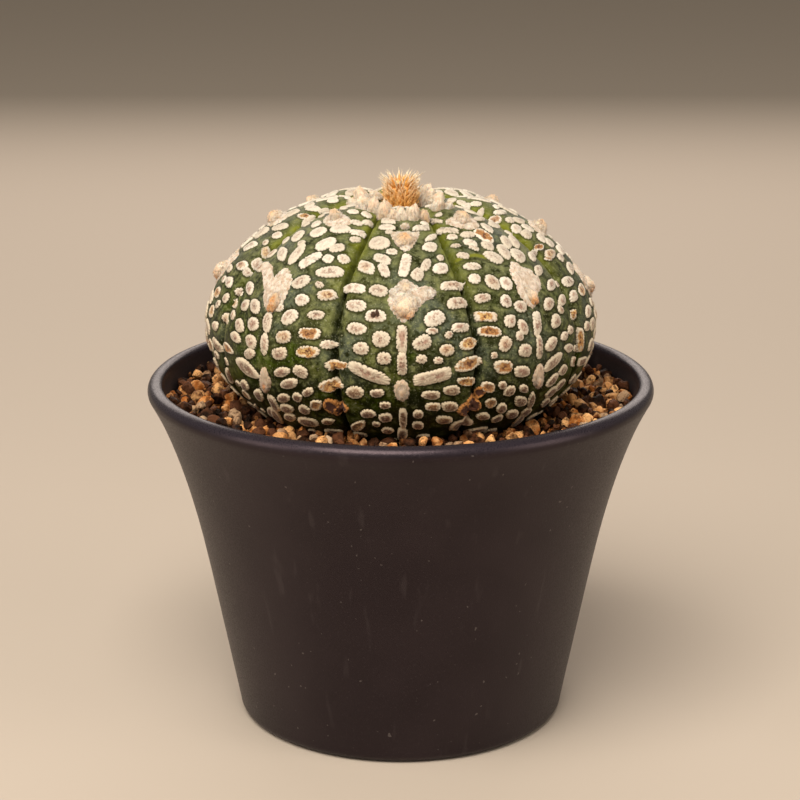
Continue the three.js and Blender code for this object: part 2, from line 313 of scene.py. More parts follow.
def bumps(height, distance, strength):
    """A normal roughened by a height, of that depth."""
    sockets = {"Height": height, "Distance": distance, "Strength": strength}
    return put(height.id_data, "ShaderNodeBump", sockets).outputs["Normal"]


def keep_values(piece, name, values):
    """Stores one number a vertex on a piece, for its material to read."""
    piece.data.attributes.new(name, "FLOAT", "POINT").data.foreach_set("value", np.asarray(values, float))


def kept(tree, name):
    """The numbers stored on the piece under a name."""
    return put(tree, "ShaderNodeAttribute", {}, attribute_name=name).outputs["Fac"]


plastic, tree, shader = new_finish("matte_dark_plastic", 0.45)
cloud = grain_noise(tree, 45, detail=2)
speck = grain_noise(tree, 2600, detail=1)
scuff = grain_noise(tree, 260, stretch=(1, 1, 0.12), detail=2)
dust = grain_noise(tree, 900, detail=0)
height = height_in(tree)
inside = kept(tree, "inside")
colour = lay_over(
    blend(between(cloud, 0.35, 0.7), (0.006, 0.0042, 0.0052), (0.0102, 0.0072, 0.0084)),
    (between(speck, 0.6, 0.78, 0, 0.5), (0.034, 0.027, 0.028)),
    (between(scuff, 0.62, 0.75, 0, 0.25), (0.05, 0.042, 0.042)),
    (between(dust, 0.83, 0.87, 0, 0.4), (0.16, 0.14, 0.13)),
    # Painted highlight: the top of the lip is made paler and bluish.
    (between(height, 87 * mm, 88.8 * mm, 0, 0.5), (0.024, 0.021, 0.031)),
    # Painted shade: the inside of the pot is made almost black.
    (between(inside, 0, 1, 0, 0.85), (0.0012, 0.0008, 0.0008)),
)
rubbed = between(height, 86.8 * mm, 88.6 * mm, 0, 0.11)
matte = reckon("SUBTRACT", between(speck, 0.3, 0.8, 0.36, 0.54), rubbed)
feed(shader, {
    "Base Color": colour,
    "Roughness": reckon("MULTIPLY_ADD", inside, 0.35, matte),
    "Specular IOR Level": 0.345,
    "Specular Tint": (1, 0.76, 0.83, 1),
    "Normal": bumps(speck, 0.05 * mm, 0.35),
})
pot.data.materials.append(plastic)
# Marks the inside of the pot below the lip, which the finish paints almost black as shade and makes rougher.
inside = []
for vertex in pot.data.vertices:
    x, y, z = vertex.co
    within = math.hypot(x, y) < pot_outside(z) - 0.6 * pot_wall
    inside.append(float(within and foot_height < z < pot_height - 3 * mm))
keep_values(pot, "inside", inside)
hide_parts("pot")
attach(pot, "root")


# Cactus skin
# The plant's living body, grown as one piece: a flattened globe of eight broad ribs that part at narrow wavy
# grooves, with a dip in its crown and a root that narrows into the soil. Its skin is smooth, green and waxy.
# It starts as a ball, whose rings and columns are moved to the ribs' own curves. Lengths here are in mm.
globe_radius, globe_middle, globe_above, globe_below = 49.6, 105.4, 33.1, 34.0
crown_dip_depth, crown_dip_width = 6.4, 11.0
out_power_above, rise_power_above = 0.92, 1.24
out_power_below, rise_power_below = 1.12, 0.87
groove_angles = np.array([-19, 22, 66.5, 111, 157, 203, 247, 293.5, 341])
edge_angles = np.array([0.8, 44, 89, 134, 180, 225, 270, 317.6])
groove_depth, groove_stray = 4.6, 0.4
slope_share, cleft_width = 0.45, 0.05
crease_depth, crease_width = 0.75, 0.5
ribs = len(edge_angles)
columns_in_half_rib = 27
rows_above_soil = 196
soil_line_down = 93.0
underside = np.array(
    [(31.4, 79), (25, 76.2), (17, 73.6), (8.5, 69.5), (6.5, 62), (4.6, 53), (2.4, 45), (0, 41)]
)


def smooth(x):
    t = np.clip(x, 0, 1)
    return t * t * (3 - 2 * t)


turn = np.linspace(0, math.pi, 801)
side, rise = np.abs(np.sin(turn)), np.abs(np.cos(turn))
below = turn > math.pi / 2
crest_r = globe_radius * np.where(below, side**out_power_below, side**out_power_above)
dip = crown_dip_depth * np.exp(-((crest_r / crown_dip_width) ** 2))
crest_z = globe_middle + np.where(
    below, -globe_below * rise**rise_power_below, globe_above * rise**rise_power_above - dip
)
crest_down = np.concatenate([[0], np.cumsum(np.hypot(np.diff(crest_r), np.diff(crest_z)))])


def half_angle(rib, across):
    """Degrees from a rib's edge to the groove on its left, where across is below 0, or on its right."""
    left = edge_angles[rib] - groove_angles[rib]
    right = groove_angles[np.asarray(rib) + 1] - edge_angles[rib]
    return np.where(np.asarray(across) < 0, left, right)


def half_width(rib, across, down):
    return np.interp(down, crest_down, crest_r) * np.radians(half_angle(rib, across))


def on_rib(rib, across, down):
    """Points of the skin: across runs from -1 in the groove on a rib's left to 1 in the one on its right, and
    down is the distance from the crown."""
    straight = np.radians(edge_angles[rib] + half_angle(rib, across) * across)
    angle = straight + 0.012 * np.sin(down / 9 + 3 * straight) * smooth(down / 20)
    depth = groove_depth * smooth((down - 3) / 16) * (1 - 0.5 * smooth((down - 45) / 40))
    cleft = np.exp(-(((1 - np.abs(across)) / cleft_width) ** 2))
    inset = depth * (slope_share * across**2 + (1 - slope_share) * cleft)
    groove = (rib + (across > 0)) % ribs
    stray = groove_stray * (np.sin(down * 0.83 + 2.1 * groove) + 0.7 * np.sin(down * 1.9 + 4.3 * groove))
    aside = (1 - np.abs(across)) * half_width(rib, across, down) + np.sign(across) * stray * smooth(down / 25)
    inset = inset + crease_depth * smooth((down - 6) / 12) * np.exp(-((aside / crease_width) ** 2))
    r = np.interp(down, crest_down, crest_r)
    z = np.interp(down, crest_down, crest_z)
    points = np.stack([r * np.sin(angle), -r * np.cos(angle), z], axis=-1)
    outward = points - (0, 0, globe_middle)
    outward /= np.linalg.norm(outward, axis=-1, keepdims=True)
    return points - outward * np.asarray(inset)[..., None], aside


steps = np.arange(columns_in_half_rib) / columns_in_half_rib
column_across = np.tile(np.concatenate([steps**1.4 - 1, 1 - (1 - steps) ** 1.4]), ribs)
column_rib = np.repeat(np.arange(ribs), 2 * columns_in_half_rib)
columns = len(column_rib)
row_down = soil_line_down * (np.arange(1, rows_above_soil + 1) / rows_above_soil) ** 0.93
rows = rows_above_soil + len(underside)
bpy.ops.object.select_all(action="DESELECT")
bpy.ops.mesh.primitive_uv_sphere_add(segments=columns, ring_count=rows, radius=1)
skin = bpy.context.object
skin.name = "cactus_skin"
ball = np.zeros(len(skin.data.vertices) * 3)
skin.data.vertices.foreach_get("co", ball)
ball = ball.reshape(-1, 3)
row = np.rint(np.arccos(np.clip(ball[:, 2], -1, 1)) / math.pi * rows).astype(int)
column = np.rint(np.arctan2(ball[:, 1], ball[:, 0]) / (2 * math.pi) * columns).astype(int) % columns
vertex_down = np.concatenate([[0], row_down, [soil_line_down] * len(underside)])[row]
skin_points, aside = on_rib(column_rib[column], column_across[column], vertex_down)
swell = [noise.noise(Vector(point) * 0.16) + 0.4 * noise.noise(Vector(point) * 0.45) for point in skin_points]
outward = skin_points - (0, 0, globe_middle)
outward /= np.linalg.norm(outward, axis=1, keepdims=True)
skin_points += outward * (0.3 * np.array(swell) * smooth(vertex_down / 20))[:, None]
buried = row > rows_above_soil
azimuth = np.arctan2(skin_points[:, 0], -skin_points[:, 1])
buried_r, buried_z = underside[np.clip(row - rows_above_soil - 1, 0, len(underside) - 1)].T
under = np.stack([buried_r * np.sin(azimuth), -buried_r * np.cos(azimuth), buried_z], axis=1)
skin_points[buried] = under[buried]
skin.data.vertices.foreach_set("co", (skin_points * mm).ravel())
skin.data.update()
bpy.ops.object.mode_set(mode="EDIT")
bpy.ops.mesh.select_all(action="SELECT")
bpy.ops.mesh.remove_doubles(threshold=0.005 * mm)
face_outwards()
bpy.ops.object.shade_smooth()


skin_finish, tree, shader = new_finish("waxy_green_skin", 0.5)
height = height_in(tree)
groove, edge_shade, fold_highlight = (kept(tree, name) for name in ("groove", "edge_shade", "fold_highlight"))
patches = grain_noise(tree, 130, detail=4, roughness=0.62)
mottle = grain_noise(tree, 520, detail=5, roughness=0.7)
fine = grain_noise(tree, 2300, detail=2, roughness=0.6)
dusty = grain_noise(tree, 62, detail=2)
# From near-black low down to grey-green higher up: a real waxy bloom above, painted shade below.
bloom_and_shade = between(height, 90 * mm, 132 * mm)
patch_colour = blend(bloom_and_shade, (0.06, 0.07, 0.004), (0.125, 0.135, 0.065))
grey = both(between(dusty, 0.48, 0.6, 0, 0.85), between(height, 96 * mm, 112 * mm, 0.25, 1))
vivid = both(between(dusty, 0.46, 0.37), between(height, 124 * mm, 104 * mm, 0, 0.9))
fresh = both(between(height, 112 * mm, 130 * mm, 0, 0.9), groove)
shaded = both(between(height, 128 * mm, 105 * mm, 0, 0.85), between(groove, 0.35, 0.9))
# Painted shade: the middle of each groove is darkened below the crown.
crease_shade = both(between(groove, 0.74, 0.92), between(height, 132 * mm, 118 * mm, 0.2, 0.9))
# Painted shade: dark rings on the skin round the flecks' edges and under the fold.
shade_by_flecks = both(between(height, 134 * mm, 108 * mm, 0.55, 0.93), between(edge_shade, 0.2, 0.85))
# Painted shade: the skin is made darker low down, in patches.
low = both(between(height, 110 * mm, 88 * mm, 0, 0.75), between(patches, 0.62, 0.42, 0.5, 1))
colour = lay_over(
    blend(bloom_and_shade, (0.003, 0.005, 0.0002), (0.085, 0.094, 0.042)),
    (between(patches, 0.47, 0.62, 0, 0.9), patch_colour),
    (grey, (0.07, 0.085, 0.065)),
    (vivid, (0.036, 0.062, 0.002)),
    (between(mottle, 0.5, 0.68, 0, 0.85), (0.18, 0.19, 0.08)),
    (between(mottle, 0.36, 0.52, 0.92, 0), (0.004, 0.0065, 0.0003)),
    (fresh, (0.2, 0.22, 0.015)),
    (shaded, (0.006, 0.009, 0.003)),
    (crease_shade, (0.009, 0.011, 0.002)),
    (between(fine, 0.6, 0.68, 0, 0.65), (0.27, 0.27, 0.18)),
    (both(shade_by_flecks, between(mottle, 0.35, 0.55, 0.65, 1)), (0.009, 0.008, 0.003)),
    # Painted highlight: the lit top edge of the fold, as a pale line.
    (between(fold_highlight, 0.1, 0.7, 0, 0.9), (0.16, 0.17, 0.02)),
    (low, (0.004, 0.006, 0.0005)),
)
feed(shader, {
    "Base Color": colour,
    "Roughness": between(mottle, 0.3, 0.7, 0.42, 0.6),
    "Specular IOR Level": 0.14,
    "Specular Tint": (1, 0.97, 0.2, 1),
    "Normal": bumps(fine, 0.08 * mm, 0.55),
})
skin.data.materials.append(skin_finish)
keep_values(skin, "groove", np.exp(-np.abs(aside[: len(skin.data.vertices)]) / 1.6))
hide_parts("cactus_body")
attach(skin, "root")


# Areoles
# Cushions of woolly felt down each rib's edge, where spines would grow: a flat scalloped brim that grips the
# skin, and a soft pointed tuft on it, hairy and browner below. Young ones crowd the crown, grown ones are
# heart-shaped and old ones are narrow and worn. Lengths are in mm.
areole_downs = [
    # how far down each rib they stand, from the crown
    [32, 49, 71.5], [26.5, 49, 71.5], [37, 55, 74], [34, 53, 72],
    [26, 46, 68], [34, 52, 72], [33, 51, 71], [25, 49.5, 71.5],
]
areoles_seen = {
    # The nine in plain view, as (rib, place down it): (outline, its tufts), with the outline and the tufts'
    # middles in the photograph's pixels, and for each tuft its middle, base, height, lean, rust and length.
    (0, 0): (
        [(390, 233), (395, 232), (402, 232), (408, 231), (413, 232.5), (420, 232), (419, 237), (416, 242),
         (413, 247), (409, 251), (404, 252), (399, 248), (395, 243), (391.5, 238)],
        [((404, 240.5), 2.4, 1.5, 0.2, 1.1, 1.0)],
    ),
    (0, 2): (
        [(401, 379), (406, 381), (409, 386), (409.5, 392), (408, 398), (403, 402), (397, 399), (394, 393),
         (394, 386), (397, 381)],
        [((402, 392), 1.3, 0.6, 0.4, 0.9, 1.5)],
    ),
    (1, 2): (
        [(540, 362.5), (543, 366), (543, 372), (543.5, 379), (542, 385), (539, 388.5), (536, 388.5),
         (533, 384.5), (532, 380), (533.5, 374), (535.5, 369), (537.5, 365)],
        [((537.5, 381), 1.1, 0.75, 0.5, 1.3, 1.4)],
    ),
    (7, 2): (
        [(264.5, 365.5), (267, 370), (269, 376), (271.5, 381), (271, 387), (269, 391), (266, 393.5),
         (263, 391), (260.5, 387), (260, 380), (260.5, 373), (262, 368)],
        [((266, 385.5), 1.15, 0.75, 0.5, 1.9, 1.5)],
    ),
    (1, 0): (
        [(444, 222), (448, 219), (455, 217), (462, 216), (470, 217), (476, 221), (480, 226), (478, 229),
         (470, 230), (460, 228.5), (452, 226), (445, 224)],
        [((462.5, 220), 2.1, 2.2, 0.2, 0.9, 1.0)],
    ),
    (7, 0): (
        [(322, 222), (326, 217), (332, 214), (341, 214), (348, 217), (352, 221), (351, 225), (344, 226),
         (335, 227.5), (327, 226)],
        [((336.5, 218.5), 1.8, 2.5, 0.2, 0.6, 1.0)],
    ),
    (0, 1): (
        [(405, 278), (411.5, 282), (416.5, 285), (420, 287.5), (425, 285.5), (431, 286.5), (436, 290),
         (437, 294), (433, 299), (427, 300.5), (423, 303.5), (419.5, 308), (414, 315), (409, 320), (403, 324),
         (397.5, 319), (392.5, 313), (389.5, 308), (387, 301), (388.5, 295.5), (391, 290), (395, 286),
         (400, 281)],
        [((404.5, 305.5), 3.1, 1.1, 0.75, 0.75, 1.1), ((405, 287.5), 1.8, 0.4, 0.3, 0.5, 1.0),
         ((428.5, 293), 1.7, 0.3, 0.1, 0.0, 0.8), ((394.5, 293), 1.3, 0.25, 0.1, 0.0, 1.0)],
    ),
    (1, 1): (
        [(510, 261), (516, 262), (520, 266), (526, 268), (531, 269), (534, 275), (538, 276), (541, 283),
         (541.5, 289), (538, 293), (537, 300), (536, 306), (533, 309.5), (529, 307), (524, 302), (520, 297),
         (517, 291), (515.5, 284), (512, 279), (509, 271)],
        [((530.5, 296), 1.5, 1.2, 0.8, 1.3, 1.9)],
    ),
    (7, 1): (
        [(263, 262), (261, 268), (263, 277), (263, 285), (264.5, 291), (263, 298), (264, 306), (266.5, 311),
         (268.5, 316), (275, 312), (279, 309), (283, 304), (286, 298), (288.5, 292), (291, 286), (293, 279),
         (291, 272), (287, 267), (283, 269), (279, 273), (274.5, 278), (273, 272), (273, 266), (268, 261)],
        [((275, 301.5), 1.8, 1.0, 0.6, 2.2, 1.7)],
    ),
}
crown_tufts_seen = [
    # x, y, base, height, rust
    (400.5, 217, 2.1, 2.5, 0.25), (412, 216.5, 2.2, 3.3, 0.3), (423.5, 219, 1.6, 2.6, 0.9),
    (427, 204, 2.0, 4.2, 0.25), (438, 208, 1.9, 3.0, 0.4), (448, 207, 1.6, 1.6, 0.1),
    (386, 215, 2.2, 3.9, 0.6), (375, 211, 2.3, 3.7, 0.4), (364, 207, 2.2, 3.0, 0.2),
    (354, 205, 1.8, 1.8, 0.1), (404.5, 227, 1.2, 1.2, 0.0), (393, 218, 1.6, 2.4, 0.5),
]
crown_tufts_behind = [
    # angle from the front, down, base, height
    (92, 9.4, 2.2, 2.6), (265, 10, 2.3, 3.8), (134, 9.4, 2.3, 3.6), (180, 8.8, 2.4, 3.2),
    (225, 9.4, 2.0, 1.9),
]
areole_ages = [
    # up to how far down, the brim's half width, half length and taper, and the tuft's base, height, lean,
    # rust, distance below the brim's middle and length
    (42, 4.3, 3.0, 0.12, 2.4, 2.4, 0.2, 0.8, 0.1, 0.9),
    (60, 3.9, 5.0, 0.42, 2.2, 1.9, 0.9, 0.65, 1.1, 1.25),
    (99, 2.1, 3.1, 0.1, 1.2, 0.7, 0.5, 1.5, 0.5, 1.5),
]
least_ear, most_ear, most_old_ear = 0.1, (0.4, 0.45), 0.3
ear_angle, ear_width = 0.62, 0.3
seen_half_sizes = [(4.2, 3.4), (4.2, 5.6), (2, 2.9)]
brim_sides, brim_height = 36, 0.55
lump_sides, lumps_round_tuft, lump_circle = 16, 6, 0.52
lump_profile = [(1.0, -0.15), (1.0, 0.1), (0.93, 0.35), (0.79, 0.6), (0.58, 0.8), (0.32, 0.94)]
tuft_hairs, brim_hairs = 215, 250
hair_length, hair_width = 0.75, 0.08
faced_over, probe_length = 1.2, 8
sag_share, least_sag = 0.13, 0.25

random.seed(4711)
skin_tree = BVHTree.FromObject(skin, bpy.context.evaluated_depsgraph_get())
taken = []


def skin_frame(rib, aside, down):
    """A place on a rib, in mm from its edge and from the crown, with the ways across, down and out of it."""
    places = [
        Vector(on_rib(rib, np.float64(x / half_width(rib, x, y)), np.float64(y))[0]) * mm
        for x, y in ((aside, down), (aside + 0.2, down), (aside, down + 0.2))
    ]
    across = (places[1] - places[0]).normalized()
    normal = (places[2] - places[0]).cross(across).normalized()
    return places[0], across, across.cross(normal), normal


camera_turn = camera.rotation_euler.to_matrix()


def seen_at(x, y):
    """The skin's place at a pixel of the photograph."""
    middle = picture_width / 2
    ray = Vector(((x - middle - object_offset) / pixels_of_focus, (middle - y) / pixels_of_focus, -1))
    return skin_tree.ray_cast(camera.location, camera_turn @ ray)[0]


def facing(place):
    """The way out of the skin at a place, over a few mm round it."""
    way = Vector((0, 0, 0))
    for nearby in skin_tree.find_nearest_range(place, faced_over * mm):
        way += nearby[1]
    return way.normalized()


class Build:
    """Points and faces of a piece in the making, with the numbers kept for each point."""

    def __init__(self):
        self.points, self.faces, self.kept = [], [], {}

    def add(self, points, faces, **numbers):
        """Adds points and faces, with one number for each point under each name."""
        first = len(self.points)
        self.points += points
        self.faces += [tuple(first + corner for corner in face) for face in faces]
        for name, values in numbers.items():
            values = values if hasattr(values, "__len__") else [values] * len(points)
            self.kept.setdefault(name, []).extend(values)

    def finish(self, name, finish, sharpest=180):
        """Makes the piece with its finish, smooth but for edges that turn by more than that many degrees."""
        mesh = bpy.data.meshes.new(name)
        mesh.from_pydata(self.points, [], self.faces)
        piece = bpy.data.objects.new(name, mesh)
        bpy.context.collection.objects.link(piece)
        for number, values in self.kept.items():
            keep_values(piece, number, values)
        mesh.materials.append(finish)
        bpy.ops.object.select_all(action="DESELECT")
        piece.select_set(True)
        bpy.context.view_layer.objects.active = piece
        bpy.ops.object.mode_set(mode="EDIT")
        face_outwards()
        bpy.ops.object.shade_smooth_by_angle(angle=math.radians(sharpest))
        return piece


def on_skin(place, normal, offset):
    """The skin under an offset from a place along it. Where a groove falls away, wool and felt bridge it."""
    aim = place + offset
    found = skin_tree.ray_cast(aim + normal * probe_length * mm, -normal, 2 * probe_length * mm)[0]
    sag = sag_share * offset.length + least_sag * mm
    if found is None or (aim - found).dot(normal) > sag:
        return aim - normal * sag
    return found


def ring_faces(rings, sides):
    """Faces between rings of points, counted from the outermost, and a fan to one last point."""
    faces = []
    for ring in range(rings - 1):
        for side in range(sides):
            after = (side + 1) % sides
            outer, inner = ring * sides, (ring + 1) * sides
            faces.append((outer + side, outer + after, inner + after, inner + side))
    last = (rings - 1) * sides
    faces += [(last + side, last + (side + 1) % sides, rings * sides) for side in range(sides)]
    return faces


def add_pad(build, place, normal, outline, levels, **numbers):
    """A pad that lies on the skin and spans its hollows: its outline is scaled in to each level's share, at
    that level's height, and evened out inwards."""
    sides = len(outline)
    shoulder = levels[1][0]
    rises = [(on_skin(place, normal, offset * shoulder) - place).dot(normal) for offset in outline]
    middle = max((on_skin(place, normal, Vector((0, 0, 0))) - place).dot(normal), sum(rises) / sides)
    nearby = range(-4, 5)
    even = [
        sum((outline[(side + step) % sides] for step in nearby), Vector()) / len(nearby)
        for side in range(sides)
    ]
    points, reach = [], []
    for share, height in levels:
        for offset, level_offset, rise in zip(outline, even, rises):
            offset = level_offset.lerp(offset, max(0, share * 1.6 - 0.6))
            point = on_skin(place, normal, offset * share)
            if share < shoulder:
                spanned = middle + (rise - middle) * share / shoulder
                point += normal * max(0, spanned - (point - place).dot(normal))
            points.append(point + normal * height * mm)
        reach += [share] * sides
    points.append(place + normal * (middle + levels[-1][1] * mm * 0.9))
    build.add(points, ring_faces(len(levels), sides), reach=reach + [0], **numbers)


def add_hair(build, root, way, length, width, reach=0.5, tip=1.0, **numbers):
    """A hair: a thin three-sided spike from a root along a way, with the reach of its root and its tip."""
    aside = way.orthogonal().normalized() * width / 2
    other = way.cross(aside).normalized() * width / 2
    base = root - way.normalized() * width
    points = [base + aside, base - aside * 0.5 + other * 0.87, base - aside * 0.5 - other * 0.87]
    points.append(root + way.normalized() * length)
    build.add(points, [(0, 1, 3), (1, 2, 3), (2, 0, 3), (0, 2, 1)], reach=[reach] * 3 + [tip], **numbers)


felt_build = Build()


def add_tuft(place, across, along, normal, base, height, lean, rust, length=1.0):
    """A felt tuft of soft lumps with hairs: lean is how far its tip hangs down the rib, and rust how brown it
    is, below the middle where it leans and all over its tip where it doesn't."""
    lumps = [(0, 0, 0.85, 1)]
    for lump in range(lumps_round_tuft):
        angle = 2 * math.pi * (lump + random.uniform(-0.3, 0.3)) / lumps_round_tuft
        right, down = math.cos(angle) * lump_circle, math.sin(angle) * lump_circle
        lumps.append((right, down, random.uniform(0.4, 0.6), random.uniform(0.4, 0.85)))
    points, warm, plain = [], [], []
    for right, down, wide, high in lumps:
        middle = place + (across * right + along * down * length) * base * mm
        twist = random.uniform(0, 9)
        lump_points = []
        for share, rise in lump_profile:
            for side in range(lump_sides):
                angle = 2 * math.pi * side / lump_sides
                feel = Vector((math.cos(angle) * 1.2, math.sin(angle) * 1.2, rise * 2 + twist))
                bumpy = 1 + 0.25 * noise.noise(feel) + 0.15 * noise.noise(feel * 2.6)
                bumpy += random.uniform(-0.06, 0.06)
                outward = across * math.cos(angle) + along * math.sin(angle) * length
                point = middle + outward * base * wide * share * bumpy * mm
                point += (normal * height * rise * bumpy + along * lean * max(rise, 0) ** 1.5) * high * mm
                lump_points.append(point)
        lump_points.append(middle + (normal * height + along * lean) * high * mm)
        lump_warm, lump_plain = [], []
        for point in lump_points:
            aside = (point - place).dot(across) / base / mm
            below = (point - place).dot(along) / base / length / mm
            hanging = min(1, lean)
            upright = (1.15 - math.hypot(aside, below)) * (1 - hanging) + 0.1
            lump_warm.append(rust * max(max(0, below) * hanging * 1.3 + 0.35 * hanging**3, upright))
            lump_plain.append(min(1, max(0.4 * (rust == 0), 2 * math.hypot(aside, below) - 1.1)))
        faces = ring_faces(len(lump_profile), lump_sides)
        felt_build.add(lump_points, faces, reach=0.5, warm=lump_warm, plain=lump_plain, old=0)
        points += lump_points
        warm += lump_warm
        plain += lump_plain
    for _ in range(int(tuft_hairs * base * height**0.5)):
        point = random.randrange(lump_sides, len(points))
        beside = random.choice((points[point - 1], points[point - lump_sides]))
        root = points[point].lerp(beside, random.random() * 0.5)
        outward = (root - place - normal * (root - place).dot(normal)).normalized()
        way = outward * random.uniform(0.3, 1.1) + normal * random.uniform(0, 1.0)
        way += across * random.uniform(-0.9, 0.9) + along * random.uniform(-0.9, 0.9)
        size = hair_length * random.uniform(0.3, 1.0) * mm
        numbers = {"warm": warm[point] * 0.7, "plain": plain[point], "old": 0}
        add_hair(felt_build, root, way, size, hair_width * mm, **numbers)


def brim_outline(across, along, wide, long, taper, ears):
    """A brim's outline round its middle: narrower downwards by its taper, with two ears at its top."""
    outline = []
    for side in range(brim_sides):
        angle = 2 * math.pi * (side + random.uniform(-0.2, 0.2)) / brim_sides
        turned = math.atan2(math.sin(angle), math.cos(angle))
        grown = 1 + (random.uniform(-0.11, -0.05) if side % 3 == 0 else random.uniform(0, 0.05))
        for ear, middle in zip(ears, (-ear_angle, ear_angle)):
            grown += ear * math.exp(-(((turned - middle) / ear_width) ** 2))
        grown -= 0.3 * min(ears) * math.exp(-((turned / 0.22) ** 2))
        aside = math.copysign(abs(math.sin(angle)) ** 1.25, math.sin(angle))
        x = wide * aside * (1 + taper * math.cos(angle)) * grown
        y = -long * math.cos(angle) * grown
        outline.append((across * x + along * y) * mm)
    return outline


def outline_seen(place, corners):
    """A scalloped outline through corners of the photograph, round a place on the skin."""
    points = np.array([seen_at(*corner) - place for corner in corners + corners[:1]])
    length = np.concatenate([[0], np.cumsum(np.linalg.norm(np.diff(points, axis=0), axis=1))])
    sides = round(length[-1] / (0.45 * mm))
    outline = []
    for side in range(sides):
        at = (side + random.uniform(-0.2, 0.2)) / sides * length[-1]
        point = Vector([np.interp(at, length, points[:, axis]) for axis in range(3)])
        notch = random.uniform(-0.3, -0.1) * min(1, length[-1] / (24 * mm))
        outline.append(point + point.normalized() * (notch if side % 3 == 0 else 0.1) * mm)
    return outline


brim_levels = [(1.0, -0.12), (0.92, 0.32), (0.66, brim_height), (0.3, brim_height)]
for rib, downs in enumerate(areole_downs):
    for order, down in enumerate(downs):
        place, across, along, normal = skin_frame(rib, 0.0, down)
        age = sum(down >= limit for limit, *_ in areole_ages)
        _, wide, long, taper, base, height, lean, rust, below, length = areole_ages[age]
        old = float(age == 2)
        ears = [random.uniform(0, most_old_ear) for _ in range(2)]
        if not old:
            ears = [random.uniform(least_ear, most_ear[age]) for _ in range(2)]
        wide, long, height = (size * random.uniform(0.92, 1.08) for size in (wide, long, height))
        spot = on_skin(place, normal, along * below * mm) + normal * 0.3 * mm
        tufts = [(spot, base, height, lean, rust, length)]
        if (rib, order) in areoles_seen:
            corners, tufts = areoles_seen[rib, order]
            place = seen_at(*np.mean(corners, axis=0))
            normal = facing(place)
            outline = outline_seen(place, corners)
            tufts = [(seen_at(*middle) + normal * 0.3 * mm, *sizes) for middle, *sizes in tufts]
            wide, long = seen_half_sizes[order]
        else:
            outline = brim_outline(across, along, wide, long, taper, ears)
        add_pad(felt_build, place, normal, outline, brim_levels, warm=0.05, old=old, plain=1)
        for spot, *sizes in tufts:
            add_tuft(spot, across, along, normal, *sizes)
        taken.append((place, across * wide * mm, along * long * mm))
        for _ in range(brim_hairs):
            share = random.uniform(0.5, 1.0)
            offset = outline[random.randrange(len(outline))] * share
            root = on_skin(place, normal, offset) + normal * (0.15 + min(0.4, 1.2 * (1 - share))) * mm
            way = offset.normalized() + normal * random.uniform(0.1, 0.9)
            size = hair_length * random.uniform(0.3, 0.65) * mm
            add_hair(felt_build, root, way, size, hair_width * mm, warm=0.05, plain=1, old=old)

crown_tufts = [(seen_at(x, y), base, height, rust) for x, y, base, height, rust in crown_tufts_seen]
for angle, down, base, height in crown_tufts_behind:
    angle = math.radians(angle)
    r = np.interp(down, crest_down, crest_r) * mm
    above = Vector((r * math.sin(angle), -r * math.cos(angle), 0.2))
    crown_tufts.append((skin_tree.ray_cast(above, Vector((0, 0, -1)))[0], base, height, 0.4))
for place, base, height, rust in crown_tufts:
    outward = Vector((place.x, place.y, 0)).normalized()
    normal = (Vector((0, 0, 1)) + outward * 0.25).normalized()
    across = normal.cross(outward).normalized()
    add_tuft(place - normal * 0.4 * mm, across, across.cross(normal), normal, base, height + 0.4, 0.5, rust)
    taken.append((place, across * base * mm, outward * base * mm))

felt_finish, tree, shader = new_finish("areole_felt", 0.9)
warm, old, plain = (kept(tree, name) for name in ("warm", "old", "plain"))
fibre = grain_noise(tree, 1900, stretch=(1, 1, 0.35), detail=3, roughness=0.7)
clump = grain_noise(tree, 750, detail=3)
height = height_in(tree)
young = between(height, 109 * mm, 126 * mm)
tufted = between(clump, 0.35, 0.62)
brim = blend(tufted, (0.34, 0.26, 0.19), (0.58, 0.5, 0.41))
young_brim = blend(tufted, (0.55, 0.43, 0.32), (0.75, 0.68, 0.59))
rusty = both(warm, between(clump, 0.25, 0.7, 0.35, 1.25))
rust_colour = blend(young, (0.46, 0.18, 0.05), (0.7, 0.37, 0.13))
rust_colour = blend(between(fibre, 0.52, 0.4, 0, 0.75), rust_colour, (0.25, 0.085, 0.022))
worn = both(between(plain, 0, 1, 0.4, 0.75), between(fibre, 0.52, 0.3))
colour = lay_over(
    blend(tufted, (0.7, 0.52, 0.36), (0.85, 0.75, 0.61)),
    (plain, blend(young, brim, young_brim)),
    (between(old, 0, 1, 0, 0.7), (0.64, 0.48, 0.33)),
    (rusty, rust_colour),
    (worn, (0.3, 0.185, 0.105)),
)
feed(shader, {
    "Base Color": colour,
    "Sheen Weight": 0.5,
    "Sheen Tint": (1, 0.88, 0.75, 1),
    "Subsurface Weight": 0.35,
    "Subsurface Radius": (1, 0.6, 0.4),
    "Subsurface Scale": 1.2 * mm,
    "Normal": bumps(fibre, 0.3 * mm, 1.0),
})
felt = felt_build.finish("areole_felt", felt_finish)
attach(felt, "root")


